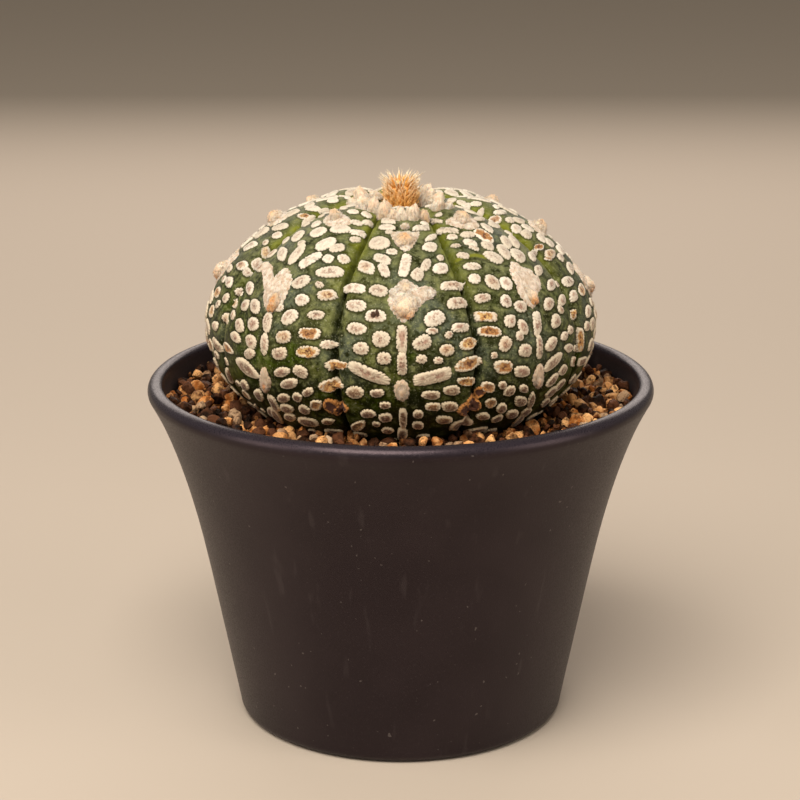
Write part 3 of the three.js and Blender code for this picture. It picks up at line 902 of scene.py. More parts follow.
# Flecks
# Hundreds of low pads of white woolly scales on the skin, each with a scalloped edge and a browner pitted
# middle: narrow ones along the ribs' edges, round ones beside them and wide ones near the grooves. Those in
# plain view stand where the photograph shows them, and a seeded rule sows the rest in staggered rows.
edge_line_flecks = [
    # x, y, width, height and slant in degrees in the photograph, and rust, the share of cork in the middle
    (405, 265, 11, 26, -12, 0), (402, 339, 11, 29, 0, 0.1), (402, 364, 10, 24, 0, 0.1),
    (403, 418, 8, 26, 0, 0.3), (267.5, 322, 9, 23, -6, 0), (264.5, 344, 8, 24, -2, 0),
    (277, 416, 7, 30, 26, 0.2), (537, 323, 8, 25, 4, 0), (539.5, 347, 6, 25, 1, 0),
    (531, 400, 6, 22, -18, 0.2), (518, 421, 6, 26, -40, 0.2),
]
front_rib_flecks = [
    (379, 243, 22, 13, 8, 0), (392, 252, 12, 6, -5, 0), (382, 259, 19, 9, -18, 0), (366, 267, 20, 13, 0, 0.4),
    (384, 270, 17, 10, -58, 0), (353.5, 288, 24, 9, -3, 0.1), (378.5, 290.5, 19, 12, -5, 0.1),
    (356, 305.5, 21, 12, 0, 0.2), (375.5, 316, 22, 13, 0, 0.1), (356.5, 328.5, 20, 12, -8, 0.2),
    (381, 339, 19, 16, -10, 0.1), (361, 348.5, 16, 13, -5, 0.2), (384, 358.5, 15, 13, 0, 0.2),
    (368, 373.5, 47, 11.5, -23, 0.1), (355, 392.5, 19, 12, -4, 0.3), (377, 393, 15, 8, 0, 0),
    (368, 413.5, 16, 8, 0, 0.2), (385.5, 417.5, 14, 9, 0, 0.2), (358, 426, 19, 9, 0, 0.7),
    (385, 405, 12, 7, 0, 0.1), (388, 221.5, 16, 5, 0, 0), (387, 227.5, 18, 5, 0, 0),
    (389, 232.5, 8, 3.5, 0, 0), (421, 228.5, 17, 4.5, 0, 0.2), (431, 238, 15, 5.5, 0, 0),
    (430, 247, 16, 9, -3, 0.2), (417.5, 274.5, 13, 13, 35, 0), (426, 265, 9, 14, -35, 0),
    (440.5, 268.5, 16, 11, 0, 0.2), (453, 285.5, 25, 9, 2, 0.3), (457.5, 303, 22, 12, 3, 0.2),
    (434.5, 318.5, 22, 16, 15, 0.2), (460.5, 327.5, 18, 10, 0, 0.2), (422.5, 342.5, 20, 15, 22, 0.1),
    (432, 331, 13, 7, 0, 0.3), (447, 350, 15, 12, 0, 0.4), (421.5, 359, 12, 9, 0, 0.2),
    (433, 377, 42, 13, 14, 0.2), (469, 364, 29, 14, 18, 0.7), (469, 343.5, 13, 16, -25, 0.7),
    (431, 395, 20, 9, 0, 0.2), (452, 390.5, 18, 10, 0, 0.3), (467, 381.5, 20, 9, 5, 1.0),
    (433, 406.5, 17, 8, 0, 0.4), (449.5, 406.5, 18, 10, 0, 0.3), (444, 419.5, 17, 8, 0, 0.4),
    (460, 424, 26, 7, 18, 0.2), (418, 414, 11, 8, 0, 0.3), (418, 425, 12, 8, 0, 0.3),
]
left_rib_flecks = [
    (340.5, 229.5, 22, 7, 3, 0), (318, 232, 18, 8, 22, 0), (298, 236, 16, 7, 38, 0),
    (326, 244, 23, 10, 24, 0), (337, 248, 17, 8, 10, 0), (297, 254, 26, 8, 50, 0), (310, 260, 26, 8, 30, 0),
    (282.5, 254, 17, 10, 65, 0), (330, 272, 30, 11, 0, 0.1), (301, 282, 20, 11, 28, 0.1),
    (327, 295, 21, 11, 2, 0.5), (302, 300, 14, 12, 20, 0.1), (316, 315, 18, 9, 0, 0.1),
    (289.5, 317, 19, 13, 35, 0.2), (309.5, 333.5, 24, 12, 0, 0.7), (283.5, 337, 16, 13, 10, 0.4),
    (329, 344.5, 18, 9, 0, 0.2), (307.5, 352, 25, 12, 0, 0.8), (279.5, 353.5, 16, 13, 0, 0.1),
    (332, 365, 23, 11, 0, 1.0), (282, 372, 18, 10, 8, 0.1), (300.5, 371.5, 17, 11, -35, 0.1),
    (331, 385.5, 27, 13, 2, 1.0), (289, 383.5, 21, 10, 10, 0.1), (308, 392, 12, 8, 20, 0.2),
    (283.5, 398, 13, 9, -5, 0.1), (297.5, 397, 11, 8, -40, 0.1), (316, 405, 12, 11, 0, 0.7),
    (287, 408, 15, 8, -20, 0.1), (304.5, 409.5, 13, 8, -30, 0.1), (290, 416.5, 13, 7, -20, 0.1),
    (308, 422, 23, 8, -14, 0.2), (328, 421, 13, 6, 0, 0.4), (250, 288, 10, 14, -8, 0),
    (240, 292, 8, 12, 20, 0.3), (235, 303, 10, 15, -5, 0.6), (255, 306, 10, 15, 0, 0),
    (229.5, 282, 8, 11, -15, 0.1), (227, 318, 7.5, 12, 0, 0.4), (253, 324, 11, 14, 0, 0.1),
    (240, 325.5, 8, 15, 8, 0.1), (235.5, 337, 8, 14, 28, 0), (251, 341.5, 10, 15, 20, 0.1),
    (250, 353.5, 11, 11, 20, 0), (228, 348, 9, 23, 30, 1.0), (247, 368, 32, 12, -45, 0.1),
    (230.5, 375, 8, 18, 25, 0.1), (245, 385, 6, 12, 30, 0), (259, 395, 7, 14, 35, 0),
    (265.5, 252, 10, 12, 0, 0.5), (257, 264, 13, 8, 40, 0.2), (247, 272, 9, 9, 20, 0.1),
    (242, 265.5, 13, 8, 25, 0.5), (250, 246, 20, 8, 32, 0), (280, 227, 20, 5, 16, 0),
    (271, 412, 6, 13, 32, 0), (257, 407, 6, 13, 38, 0),
]
right_rib_flecks = [
    (447.5, 230.5, 23, 5, 8, 0), (467.5, 235, 15, 6, 0, 0.1), (484, 236, 24, 9, -32, 0.9),
    (470, 243, 15, 6, -18, 0), (487.5, 246, 15, 7, -25, 0.2), (506, 242.5, 15, 8, -50, 0),
    (514, 241, 18, 6, -48, 0), (526, 234.5, 13, 7, -32, 0), (503.5, 252, 20, 8, -48, 0),
    (518, 255.5, 19, 10, -40, 0), (493.5, 257.5, 21, 9, -26, 0), (472, 266.5, 19, 7, 0, 0),
    (492.5, 282, 19, 11, -42, 0.3), (506, 283.5, 15, 11, -52, 0), (482.5, 298, 18, 9, 8, 0.1),
    (506, 301, 14, 11, -60, 0.1), (520.5, 306.5, 14, 11, -38, 0.1), (486, 316.5, 25, 10, 0, 0.9),
    (510, 321, 12, 13, 0, 0.1), (523, 327, 9, 17, 20, 0.2), (490, 331.5, 26, 11, 0, 0.9),
    (519.5, 336, 8, 10, 0, 0.2), (505.5, 344, 13, 16, -25, 0.3), (525.5, 350.5, 13, 14, 0, 0.1),
    (503.5, 367, 20, 14, 0, 1.0), (522, 371.5, 18, 12, 0, 0.1), (502.5, 385, 9, 8, 0, 0.3),
    (509.5, 391, 14, 9, 32, 0.1), (523.5, 388.5, 9, 9, 0, 0.1), (488, 387, 15, 11, -20, 0.6),
    (491, 403, 12, 10, 25, 0.6), (520.5, 401, 13, 11, 10, 0.1), (501.5, 408, 12, 9, 45, 0.1),
    (512, 414, 13, 9, 25, 0.1), (483, 416, 14, 7, 0, 0.3), (497, 418.5, 13, 6, 25, 0.1),
    (533.5, 254, 13, 12, 0, 0.1), (539, 247.5, 10, 6, 0, 0.8), (550, 254, 13, 9, -10, 0.5),
    (538.5, 270, 10, 11, 20, 0), (551, 285, 13, 12, 0, 0.2), (562, 300, 13, 12, 0, 0.1),
    (548.5, 304, 10, 13, 0, 0.3), (573.5, 296, 7, 12, 10, 0.2), (555.5, 321, 9, 15, 0, 0.1),
    (572, 315, 14, 14, 0, 0.8), (564, 336, 6, 10, -15, 0), (570, 330, 5, 9, 0, 0.1), (551, 344, 17, 9, 62, 0),
    (569, 348, 16, 10, 42, 0), (580.5, 340, 7, 25, -3, 1.0), (553, 362, 25, 9, 48, 0),
    (572.5, 361.5, 9, 11, -10, 0.4), (552, 380, 18, 6, 50, 0), (560, 385, 16, 6, 50, 0),
    (563, 370, 12, 7, 60, 0), (551, 392, 16, 6, 45, 0), (526, 412, 14, 6, 40, 0), (545, 402, 12, 6, 45, 0),
]
crown_flecks = [
    (356, 223, 14, 4.5, -14, 0), (368, 223, 13, 5, -28, 0), (358, 233, 18, 5, -20, 0),
    (353, 212, 12, 4, -5, 0), (262, 233, 18, 8, 35, 0), (245, 242.5, 12, 4, 36, 0),
    (304, 216.5, 14, 5, -8, 0.7), (308.5, 221.5, 17, 5, 28, 0), (316.5, 224.5, 11, 4, 28, 0),
    (313, 208.5, 18, 5, 0, 0), (324, 211, 12, 4.5, 12, 0), (333, 201, 12, 4, 5, 0), (275, 221, 18, 5, 28, 0),
    (292, 213, 18, 5, 24, 0), (462, 203.5, 12, 5, -20, 0), (476, 204, 12, 4.5, 0, 0),
    (466, 208.5, 17, 3.5, 0, 0), (480, 214, 17, 6, 8, 0), (500, 212.5, 17, 4, 0, 0),
    (479, 219.5, 12, 3, -5, 0), (494.5, 220.5, 17, 6, -10, 0.6), (487, 228, 15, 4.5, -32, 0),
    (494, 225, 14, 3.5, -25, 0), (455.5, 246, 10, 3.5, 5, 0.3), (474, 248.5, 11, 3, -20, 0.4),
    (516, 229, 11, 8, -25, 0.3), (518.5, 221, 13, 4, -20, 0), (527.5, 228, 15, 4, -28, 0),
    (536, 224, 14, 4.5, -30, 0), (542, 238, 14, 5, -38, 0), (549, 243, 12, 4.5, -42, 0),
    (560, 250, 13, 4.5, -48, 0), (548, 259, 8, 3, -10, 0.6), (436, 221.5, 12, 4, 5, 0),
]
# Pits, cork scabs and the fold in the skin, which is only painted, as a pale highlight line with a dark
# shadow line below it, are placed by the photograph's pixels too.
dark_pits = [(373.5, 315, 5, 7, 0, 2), (377.5, 313.5, 4, 8, 10, 2)]
skin_fold = [(456, 261), (463, 257), (475, 255), (486, 257)]
cork_scabs = [
    (331, 406, 17, 14, -10, 1.4), (344, 404, 13, 13, 20, 1.4), (338, 410, 14, 9, 0, 1.3),
    (470, 399, 14, 15, 10, 1.4), (480, 392, 14, 11, 35, 1.4), (466, 409, 20, 8, 25, 1.3),
]
edge_line_from, edge_line_to, edge_line_pitch, room_for_areole = 12, 94, 6.6, 9
row_first, row_pitch, rows_on_side, column_pitch = 12.0, 4.7, 17, 6.0
bare_by_edge, bare_by_groove, bare_by_both = 2.2, 1.3, 2.6
crown_reach, crown_gap, body_gap, far_apart = 36, 0.4, 0.75, 16
longest_half, longest_share = 2.3, 0.14
filler_tries = 400
wool_height = 0.4
lobe_length, least_lobes, most_lobes = 1.0, 8, 22
fringe_hairs, fringe_length, fringe_width = 10, 0.42, 0.09
edge_shade_reach, fold_reach, fold_shadow = 0.9, 0.8, 3.5

sown = []


def sow(place, normal, long_half, short_half, rust, fullness):
    """Keeps a fleck: where it is, its two half axes along the skin, its rust and how full its outline is."""
    long_half = long_half - normal * long_half.dot(normal)
    short_half = short_half - normal * short_half.dot(normal)
    sown.append((place, normal, long_half, short_half, rust, fullness))
    taken.append((place, long_half, short_half))


def sow_seen(flecks, fullness):
    """Sows flecks that are listed by their place in the photograph."""
    for x, y, wide, high, slant, rust in flecks:
        place = seen_at(x, y)
        if place is None:
            continue
        tilt = math.radians(slant)
        right, down = math.cos(tilt), -math.sin(tilt)
        halves = []
        for right, down, size in ((right, down, wide), (-down, right, high)):
            near = seen_at(x - right * size / 2, y - down * size / 2)
            far = seen_at(x + right * size / 2, y + down * size / 2)
            if near is None:
                near = place + place - far
            if far is None:
                far = place + place - near
            half = (far - near) / 2
            longest = max(longest_half, size * longest_share)
            halves.append(half * min(1, longest * mm / half.length))
        sow(place, facing(place), *halves, rust, fullness)


def clear_of_others(place, long_half, short_half, gap):
    for other, other_long, other_short in taken:
        apart = place - other
        if apart.length > far_apart * mm:
            continue
        reach = gap
        for a, b in ((long_half, short_half), (other_long, other_short)):
            share = math.hypot(apart.dot(a) / a.length_squared, apart.dot(b) / b.length_squared)
            reach += apart.length / max(share, 1e-6)
        if apart.length < reach:
            return False
    return True


def sow_by_rule(rib, aside, down, wide, long, slant, rust, fullness, gap):
    """Sows a fleck on a rib where it is clear of the others, with its place and half sizes in mm."""
    place, across, along, normal = skin_frame(rib, aside, down)
    tilt = math.radians(slant)
    long_half = (across * math.cos(tilt) + along * math.sin(tilt)) * wide * mm
    short_half = (along * math.cos(tilt) - across * math.sin(tilt)) * long * mm
    if clear_of_others(place, long_half, short_half, gap * mm):
        sow(place, normal, long_half, short_half, rust, fullness)


random.seed(1866)
sow_seen(edge_line_flecks, 2.0)
sow_seen(front_rib_flecks + left_rib_flecks + right_rib_flecks + crown_flecks, 2.4)
sow_seen(cork_scabs + dark_pits, 2.2)
for rib, downs in enumerate(areole_downs):
    stops = [edge_line_from, *downs, edge_line_to]
    for above, below in zip(stops, stops[1:]):
        count = max(1, round((below - above - room_for_areole) / edge_line_pitch))
        for number in range(count):
            down = above + (below - above) * (number + 1.1) / (count + 1.25)
            aside, slant = random.uniform(-0.3, 0.3), random.uniform(-5, 5)
            sow_by_rule(rib, aside, down, 1.25, 3.0, slant, 0.1, 1.7, -0.4)
    for side in (-1, 1):
        for row_number in range(rows_on_side):
            row_place = row_first + row_pitch * row_number
            room = half_width(rib, side * 0.5, row_place) - bare_by_both
            in_row = max(1, round(room / column_pitch))
            for number in range(in_row):
                share = (number + (0.3 if row_number % 2 else 0.6) + random.uniform(-0.12, 0.12)) / in_row
                aside = side * (bare_by_edge + (room - bare_by_groove) * share)
                down = row_place + random.uniform(-0.8, 0.8) + (number % 2) * 1.5
                rustiest = 1.0 if share > 0.5 and down > 50 else 0.2
                rust = random.choice((0, 0.1, 0.1, 0.2, 0.2, 0.3, 0.6, rustiest))
                wide = (1.75 + 1.05 * share) * random.uniform(0.8, 1.2)
                long = (1.75 - 0.4 * share) * random.uniform(0.85, 1.12)
                slant = side * (14 - 12 * share) + random.uniform(-12, 12)
                gap = crown_gap if down < crown_reach else body_gap
                sow_by_rule(rib, aside, down, wide, long, slant, rust, 2.4, gap)
        for _ in range(filler_tries):
            down = 10 + 80 * random.random() ** 1.35
            size = random.uniform(0.8, 1.5)
            gap = crown_gap if down < crown_reach else body_gap
            room = half_width(rib, side * 0.5, down) - bare_by_groove - size
            aside = side * random.uniform(0.15, 1) * room
            slant, rust = random.uniform(-30, 30), random.choice((0, 0.1, 0.3))
            sow_by_rule(rib, aside, down, size * random.uniform(1, 1.6), size, slant, rust, 2.3, gap)

wool_build = Build()
edge_points = []


def scalloped(long, short, fullness):
    """An outline of small uneven rounded lobes round an ellipse, or a fuller form, in mm along its axes."""
    turn = np.linspace(0, 2 * math.pi, 181)
    x, y = np.cos(turn), np.sin(turn)
    x, y = (np.sign(value) * np.abs(value) ** (2 / fullness) for value in (x, y))
    uneven = 1 + sum(
        random.uniform(0.01, 0.045) * np.sin(wave * turn + random.uniform(0, 6.3)) for wave in (2, 3, 4)
    )
    x, y = x * long * uneven, y * short * uneven
    length = np.concatenate([[0], np.cumsum(np.hypot(np.diff(x), np.diff(y)))])
    lobes = int(min(max(round(length[-1] / lobe_length), least_lobes), most_lobes))
    ends = np.cumsum([random.uniform(0.6, 1.5) for _ in range(lobes)])
    places, depth = [], []
    for start, end in zip([0, *ends], ends / ends[-1] * length[-1]):
        start = start / ends[-1] * length[-1]
        notch, swell = random.uniform(-0.34, -0.1), random.uniform(0, 0.16)
        places += [start + (end - start) * share for share in (0, 0.22, 0.55, 0.83)]
        depth += [notch, swell * 0.5, swell, swell * 0.4]
    x, y = np.interp(places, length, x), np.interp(places, length, y)
    out_x, out_y = np.roll(y, -1) - np.roll(y, 1), np.roll(x, 1) - np.roll(x, -1)
    size = np.hypot(out_x, out_y)
    return x + out_x / size * depth, y + out_y / size * depth


for place, normal, long_half, short_half, rust, fullness in sown:
    long, short = long_half.length / mm, short_half.length / mm
    if max(long, short) > 2.3 * min(long, short):
        fullness += 2
    x, y = scalloped(long, short, fullness)
    outline = [long_half * (right / long) + short_half * (down / short) for right, down in zip(x, y)]
    height = wool_height * random.uniform(0.75, 1.25) * (1.6 if rust > 1 else 1)
    levels = [(1.0, -0.12), (0.86, height)]
    if 0.5 < rust < 2:
        levels += [(0.64, height * 0.75), (0.4, height * 0.5)]
    elif max(long, short) > 3.2:
        levels += [(0.45, height)]
    tint = random.random()
    add_pad(wool_build, place, normal, outline, levels, rust=rust, tint=tint)
    for _ in range(fringe_hairs):
        offset = random.choice(outline) * random.uniform(0.85, 1)
        root = on_skin(place, normal, offset) + normal * 0.12 * mm
        way = offset.normalized() + normal * random.uniform(0.1, 0.8)
        way += offset.orthogonal() * random.uniform(-0.4, 0.4)
        size = fringe_length * random.uniform(0.4, 1) * mm
        add_hair(wool_build, root, way, size, fringe_width * mm, reach=0.85, tip=0.9, rust=rust, tint=tint)
    edge_points += [place + offset for offset in outline]

wool_finish, tree, shader = new_finish("wool_fleck", 0.88)
rust, reach, tint = (kept(tree, name) for name in ("rust", "reach", "tint"))
height = height_in(tree)
pits = grain_noise(tree, 1500, detail=4, roughness=0.7)
blotch = grain_noise(tree, 800, detail=3, roughness=0.6)
middle = both(between(reach, 0.9, 0.35), between(height, 134 * mm, 116 * mm, 0.35, 1))
pitted = both(
    between(reach, 0.8, 0.2),
    between(pits, 0.52, 0.42, 0, 0.8),
    between(tint, 0, 0.5, 0.35, 1),
    between(height, 134 * mm, 116 * mm, 0.4, 1),
)
aged = both(
    between(reach, 0.82, 0.5), between(height, 107 * mm, 94 * mm, 0, 0.95), between(pits, 0.62, 0.5, 0.2, 1)
)
ragged = reckon("MULTIPLY_ADD", reckon("ADD", blotch, -0.5), 1.8, reach)
rusty = between(rust, 0.15, 0.8)
cork_colour = blend(tint, (0.4, 0.2, 0.06), (0.6, 0.4, 0.15))
cork_colour = blend(between(pits, 0.42, 0.6), (0.3, 0.12, 0.03), cork_colour)
crust_colour = blend(between(ragged, 0.62, 0.8), (0.07, 0.018, 0.005), (0.48, 0.2, 0.045))
crust_colour = blend(between(rust, 1.6, 1.9), crust_colour, (0.045, 0.014, 0.003))
colour = lay_over(
    blend(tint, (0.76, 0.7, 0.59), (0.62, 0.545, 0.43)),
    # Lower flecks darker and browner: partly with age, partly as painted shade.
    (between(height, 120 * mm, 102 * mm, 0, 0.75), (0.6, 0.5, 0.35)),
    (between(height, 104 * mm, 88 * mm, 0, 0.8), (0.7, 0.56, 0.36)),
    (both(middle, between(blotch, 0.4, 0.58, 0.95, 0.15)), (0.34, 0.2, 0.14)),
    (pitted, (0.1, 0.045, 0.022)),
    (aged, (0.13, 0.055, 0.02)),
    (both(rusty, between(ragged, 0.86, 0.55)), cork_colour),
    (both(rusty, between(ragged, 0.42, 0.2), between(pits, 0.6, 0.45)), (0.085, 0.024, 0.006)),
    (between(rust, 1.05, 1.3), crust_colour),
    # Painted shade: a dark band round each fleck's edge, where its side meets the skin.
    (between(reach, 0.92, 0.99, 0, 0.7), (0.08, 0.055, 0.028)),
)
feed(shader, {
    "Base Color": colour,
    "Sheen Weight": 0.12,
    "Normal": bumps(reckon("ADD", pits, blotch), 0.22 * mm, 0.9),
})
flecks = wool_build.finish("wool_flecks", wool_finish)
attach(flecks, "root")

# The skin keeps how near each of its points is to a fleck's edge, round which shade is painted dark, and to
# the fold, along which a pale highlight is painted.
fold_x, fold_y = (np.interp(np.linspace(0, 3, 24), range(4), axis) for axis in zip(*skin_fold))
# Painted shadow: a dark line just below the fold, through the skin's edge shade.
edge_points += [seen_at(x, y + fold_shadow) for x, y in zip(fold_x, fold_y)]
fold_points = [seen_at(x, y) for x, y in zip(fold_x, fold_y)]
for name, near_points, reach in (("edge_shade", edge_points, edge_shade_reach), ("fold_highlight", fold_points, fold_reach)):
    near_tree = KDTree(len(near_points))
    for number, point in enumerate(near_points):
        near_tree.insert(point, number)
    near_tree.balance()
    apart = [near_tree.find(vertex.co)[2] for vertex in skin.data.vertices]
    keep_values(skin, name, [max(0, 1 - distance / (reach * mm)) for distance in apart])


# Flower bud
# The bud that stands in the crown: a short stub wrapped in crowded tiers of narrow frizzy scales, thin
# curved blades with loose hairs, orange-brown at their roots and cream and frayed at their tips. The longest
# spread at the top. Lengths are in mm.
bud_low, bud_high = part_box("flower_bud")
bud_foot = bud_low.z / mm
bud_top = bud_high.z / mm
stub_radius, stub_height, stub_sides = 3.3, 7.6, 24
scale_tiers, scales_in_tier, fewer_on_top = 19, 27, 0.45
narrowing, narrows_from = 2.6, 0.45
splay_on_top, stray_splay, stray_share = 0.4, 0.4, 0.12
scale_steps, hairs_on_scale, hair_on_bud = 4, 6, 0.09

random.seed(77)
bud_build = Build()
stub_profile = [(2.6, -0.5), (3.0, 0.6), (stub_radius, 3), (stub_radius, 5.5), (2.7, 7.0), (1.6, stub_height)]
stub_points = [
    Vector((r * math.cos(angle), r * math.sin(angle), bud_foot + z)) * mm
    for r, z in stub_profile
    for angle in (2 * math.pi * side / stub_sides for side in range(stub_sides))
]
stub_points.append(Vector((0, 0, bud_foot + stub_height + 0.2)) * mm)
stub_points.append(Vector((0, 0, bud_foot - 0.5)) * mm)
stub_faces = ring_faces(len(stub_profile), stub_sides)
stub_faces += [(side, len(stub_points) - 1, (side + 1) % stub_sides) for side in range(stub_sides)]
bud_build.add(stub_points, stub_faces, reach=0.0, tint=0.2, streak=0.0)


def add_scale(root, way, outward, length, width, curl, tint):
    """A bud scale: a blade with a flat diamond section that narrows to a point and curls outwards."""
    sideways = way.cross(outward).normalized()
    points, reach = [], []
    for step in range(scale_steps):
        share = step / scale_steps
        middle = root + way * length * share + outward * curl * share**2.2
        half = width / 2 * (1 - share) ** 0.55 * (0.75 + 0.5 * math.sin(math.pi * min(1, share * 1.4)))
        thick = 0.28 * half + 0.05 * mm
        points += [middle - sideways * half, middle + outward * thick]
        points += [middle + sideways * half, middle - outward * thick]
        reach += [share] * 4
    points.append(root + way * length + outward * curl)
    faces = ring_faces(scale_steps, 4) + [(3, 2, 1, 0)]
    bud_build.add(points, faces, reach=reach + [1], tint=tint, streak=random.uniform(0, 9))
    return points[-1]


for tier in range(scale_tiers):
    height = tier / (scale_tiers - 1)
    count = round(scales_in_tier * (1 - fewer_on_top * height**2))
    for number in range(count):
        angle = 2 * math.pi * (number + 0.5 * (tier % 2) + random.uniform(-0.25, 0.25)) / count
        outward = Vector((math.cos(angle), math.sin(angle), 0))
        radius = stub_radius + 0.15 - narrowing * max(0, height - narrows_from) ** 1.2
        splay = random.uniform(0, 0.5) + splay_on_top * height**2
        splay += stray_splay if random.random() < stray_share else 0
        aside = Vector((-outward.y, outward.x, 0)) * random.uniform(-0.5, 0.5)
        way = (Vector((0, 0, 1)) + outward * splay + aside).normalized()
        root_height = bud_foot - 0.2 + stub_height * height + random.uniform(-0.4, 0.4)
        root = (outward * radius + Vector((0, 0, root_height))) * mm
        length = random.uniform(1.3, 2.4) + 1.3 * height
        length = min(length, (bud_top - root.z / mm) / way.z - random.uniform(0.05, 1.1)) * mm
        width = random.uniform(0.5, 0.85) * mm
        curl = random.uniform(0.0, 0.9) * (0.5 + height) * mm
        tip = add_scale(root, way, outward, length, width, curl, random.random())
        for _ in range(hairs_on_scale):
            lean = Vector((random.uniform(-0.6, 0.6), random.uniform(-0.6, 0.6), 0.9)) + outward * 0.5
            start = root.lerp(tip, random.uniform(0.45, 0.95))
            reach_up = min(random.uniform(0.5, 1.2), bud_top - start.z / mm) * mm
            add_hair(bud_build, start, lean, reach_up, hair_on_bud * mm, reach=0.9, tint=0, streak=0)

bud_finish, tree, shader = new_finish("bud_scale", 0.62)
reach, tint = (kept(tree, name) for name in ("reach", "tint"))
height = height_in(tree)
lines = grain_noise(tree, 1700, stretch=(1, 1, 0.18), detail=2)
root_colour = blend(between(height, 132 * mm, 139 * mm), (0.5, 0.16, 0.018), (0.82, 0.42, 0.085))
tip_colour = blend(between(height, 134 * mm, 142 * mm), (0.92, 0.52, 0.14), (1, 0.87, 0.65))
colour = lay_over(
    blend(between(reach, 0.2, 0.8), root_colour, tip_colour),
    (between(tint, 0.3, 1, 0, 0.3), (0.6, 0.24, 0.03)),
    (between(lines, 0.35, 0.5, 0.3, 0), (0.4, 0.15, 0.02)),
)
feed(shader, {"Base Color": colour, "Normal": bumps(lines, 0.1 * mm, 0.6)})
bud = bud_build.finish("bud_scales", bud_finish)
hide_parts("flower_bud")
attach(bud, "root")


# Soil bed
# The body of gritty mix that fills the pot below its top layer, with the hole that the plant's underside and
# root stand in. It is drawn up ring by ring from its floor, in crumbly dark earth. Lengths are in mm.
bed_clearance = 0.35
bed_top = 81.0
bed_sides = 96
hole_clearance = 0.35
bed_levels = [6.5, 14, 28, 40, 51, 61, 69, 76, bed_top]
bed_profile = [(pot_outside(floor_top) / mm - 5.0, floor_top / mm + bed_clearance)]
bed_profile += [(pot_outside(z * mm) / mm - pot_wall / mm - bed_clearance, z) for z in bed_levels]
bed_profile += [(52, bed_top), (46, bed_top), (40.5, bed_top), (36.0, 80.6)]
bed_profile += [(r + hole_clearance, z - hole_clearance) for r, z in underside[:-1]]
bed_profile.append((1.2, underside[-1][1] - hole_clearance))
bed_profile = [(r * mm, z * mm) for r, z in bed_profile]

bed = start_ring("soil_bed", bed_profile, bed_sides)
bpy.ops.mesh.edge_face_add()
select_open_edges()
draw_up(bed_profile)
bpy.ops.mesh.edge_face_add()
face_outwards()
bpy.ops.object.shade_smooth_by_angle(angle=sharp_turn)

earth, tree, shader = new_finish("dark_earth", 0.95)
crumbs = grain_noise(tree, 500, detail=5, roughness=0.75)
colour = blend(between(crumbs, 0.35, 0.65), (0.003, 0.0015, 0.001), (0.03, 0.014, 0.008))
feed(shader, {"Base Color": colour, "Normal": bumps(crumbs, 0.9 * mm, 1.0)})
bed.data.materials.append(earth)
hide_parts("soil")
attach(bed, "root")


# Soil grains
# The loose top layer that the plant sits in: baked clay balls, pale pumice and dark lava, 2 to 4.5 mm across,
# and crumbs of them, heaped between the plant and the pot's wall. A few grains of each kind are shaped, and
# every copy is dropped where it comes to rest lowest on those below. Lengths are in mm.
grain_floor, grain_ceiling = 80.2, 86.2
grain_tries, most_misses = 9, 260
heap_inside, heap_cell, nestled = 37.5, 5, 0.86
grain_kinds = {
    # name: (share of grains, least and most radius, how cut its sides are, lumpiness)
    "clay": (0.2, 1.1, 2.4, 0.85, 0.22),
    "pumice": (0.04, 1.1, 1.9, 0.9, 0.22),
    "lava": (0.38, 0.9, 2.1, 1.0, 0.24),
    "crumb": (0.38, 0.45, 0.85, 0.9, 0.3),
}
shapes_of_kind, cut_sides = 9, 8

random.seed(3030)
grain_shapes = {}
for kind, (_, _, _, cut, lumps) in grain_kinds.items():
    grain_shapes[kind] = []
    for number in range(shapes_of_kind):
        bpy.ops.mesh.primitive_ico_sphere_add(subdivisions=1 if kind == "crumb" else 2, radius=1)
        pebble = bpy.context.object
        stretch = Vector((random.uniform(0.85, 1.15), random.uniform(0.8, 1.05), random.uniform(0.72, 0.95)))
        cuts = []
        for _ in range(cut_sides):
            way = Vector([random.gauss(0, 1) for _ in range(3)]).normalized()
            cuts.append((way, random.uniform(0.5, 0.82)))
        shift = Vector((random.uniform(0, 50), 0, 0))
        points = []
        for vertex in pebble.data.vertices:
            point = vertex.co.copy()
            for way, limit in cuts:
                point -= way * max(0, point.dot(way) - limit) * cut
            point *= 1 + lumps * (noise.noise(point * 1.6 + shift) + 0.5 * noise.noise(point * 4 + shift))
            points.append(point * stretch * 1.12)
        faces = [tuple(face.vertices) for face in pebble.data.polygons]
        grain_shapes[kind].append((points, faces))
        bpy.data.meshes.remove(pebble.data)

heap = {}
wall_at_top = pot_outside(83 * mm) / mm - pot_wall / mm


def cell_of(x, y):
    """The square of the heap that a place lies in, by which grains are looked up."""
    return int(x // heap_cell), int(y // heap_cell)


def resting_height(x, y, radius):
    """How high a grain's middle comes to rest at a place on the heap."""
    height = grain_floor + radius * 0.3
    cell_x, cell_y = cell_of(x, y)
    for column in range(cell_x - 1, cell_x + 2):
        for line in range(cell_y - 1, cell_y + 2):
            for other_x, other_y, other_z, other_radius in heap.get((column, line), ()):
                touch = nestled * (radius + other_radius)
                apart = (x - other_x) ** 2 + (y - other_y) ** 2
                if apart < touch**2:
                    height = max(height, other_z + math.sqrt(touch**2 - apart))
    return height


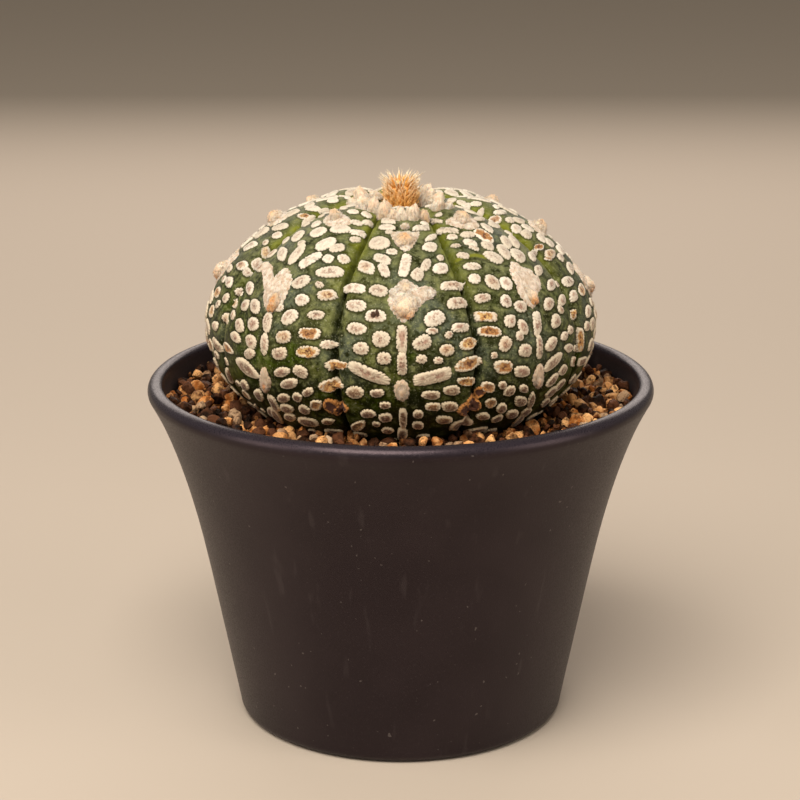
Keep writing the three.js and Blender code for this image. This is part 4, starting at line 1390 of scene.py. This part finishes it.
grain_builds = {kind: Build() for kind in grain_kinds}
misses = 0
while misses < most_misses:
    kind = random.choices(list(grain_kinds), [share for share, *_ in grain_kinds.values()])[0]
    _, least, most, _, _ = grain_kinds[kind]
    radius = least + (most - least) * random.random() ** 1.7
    best = None
    for _ in range(grain_tries):
        angle = random.uniform(0, 2 * math.pi)
        r = math.sqrt(random.uniform(heap_inside**2, (wall_at_top - radius * 0.9) ** 2))
        x, y = r * math.sin(angle), -r * math.cos(angle)
        height = resting_height(x, y, radius)
        if best is None or height < best[2]:
            best = (x, y, height, r)
    x, y, height, r = best
    outward = Vector((x, y, 0)).normalized()
    skin_at = skin_tree.ray_cast(outward * 0.2 + Vector((0, 0, height * mm)), -outward)[0]
    skin_r = math.hypot(skin_at.x, skin_at.y) / mm if skin_at else 0
    if height + 0.75 * radius > grain_ceiling or r < skin_r + 0.45 * radius:
        misses += 1
        continue
    heap.setdefault(cell_of(x, y), []).append((x, y, height, radius))
    points, faces = random.choice(grain_shapes[kind])
    turned = Euler([random.uniform(0, 6.3) for _ in range(3)]).to_matrix()
    middle = Vector((x, y, height))
    points = [(middle + turned @ point * radius) * mm for point in points]
    grain_builds[kind].add(points, faces, tint=random.random())

grain_colours = {
    # name: (roughness, dark colour, middle colour, light colour, how deep its pits are)
    "clay": (0.6, (0.09, 0.024, 0.007), (0.48, 0.155, 0.03), (0.95, 0.53, 0.22), 0.35),
    "pumice": (0.85, (0.2, 0.1, 0.05), (0.4, 0.24, 0.13), (0.58, 0.4, 0.25), 0.35),
    "lava": (0.55, (0.0025, 0.001, 0.0006), (0.008, 0.0035, 0.002), (0.13, 0.05, 0.023), 0.45),
    "crumb": (0.7, (0.0025, 0.0012, 0.001), (0.02, 0.008, 0.004), (0.4, 0.16, 0.05), 0.3),
}
for kind, build in grain_builds.items():
    roughness, dark, medium, light, pit_depth = grain_colours[kind]
    grit, tree, shader = new_finish(f"{kind}_grit", roughness)
    tint = kept(tree, "tint")
    pores = grain_noise(tree, 1500, detail=4, roughness=0.7)
    stain = grain_noise(tree, 380, detail=2)
    soak = grain_noise(tree, 620, detail=3, roughness=0.65)
    colour = lay_over(
        blend(between(tint, 0.0, 0.6), dark, medium),
        (between(tint, 0.5, 1.0), light),
        (between(stain, 0.4, 0.65, 0, 0.6), light),
        (between(soak, 0.53, 0.63, 0, 0.7), (0.04, 0.014, 0.006)),
        (between(pores, 0.46, 0.3, 0, 0.8), dark),
    )
    feed(shader, {
        "Base Color": colour,
        "Specular IOR Level": 0.12,
        "Specular Tint": (1, 0.8, 0.65, 1),
        "Normal": bumps(pores, pit_depth * mm, 0.9),
    })
    grains = build.finish(f"{kind}_grains", grit, sharpest=32)
    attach(grains, "root")
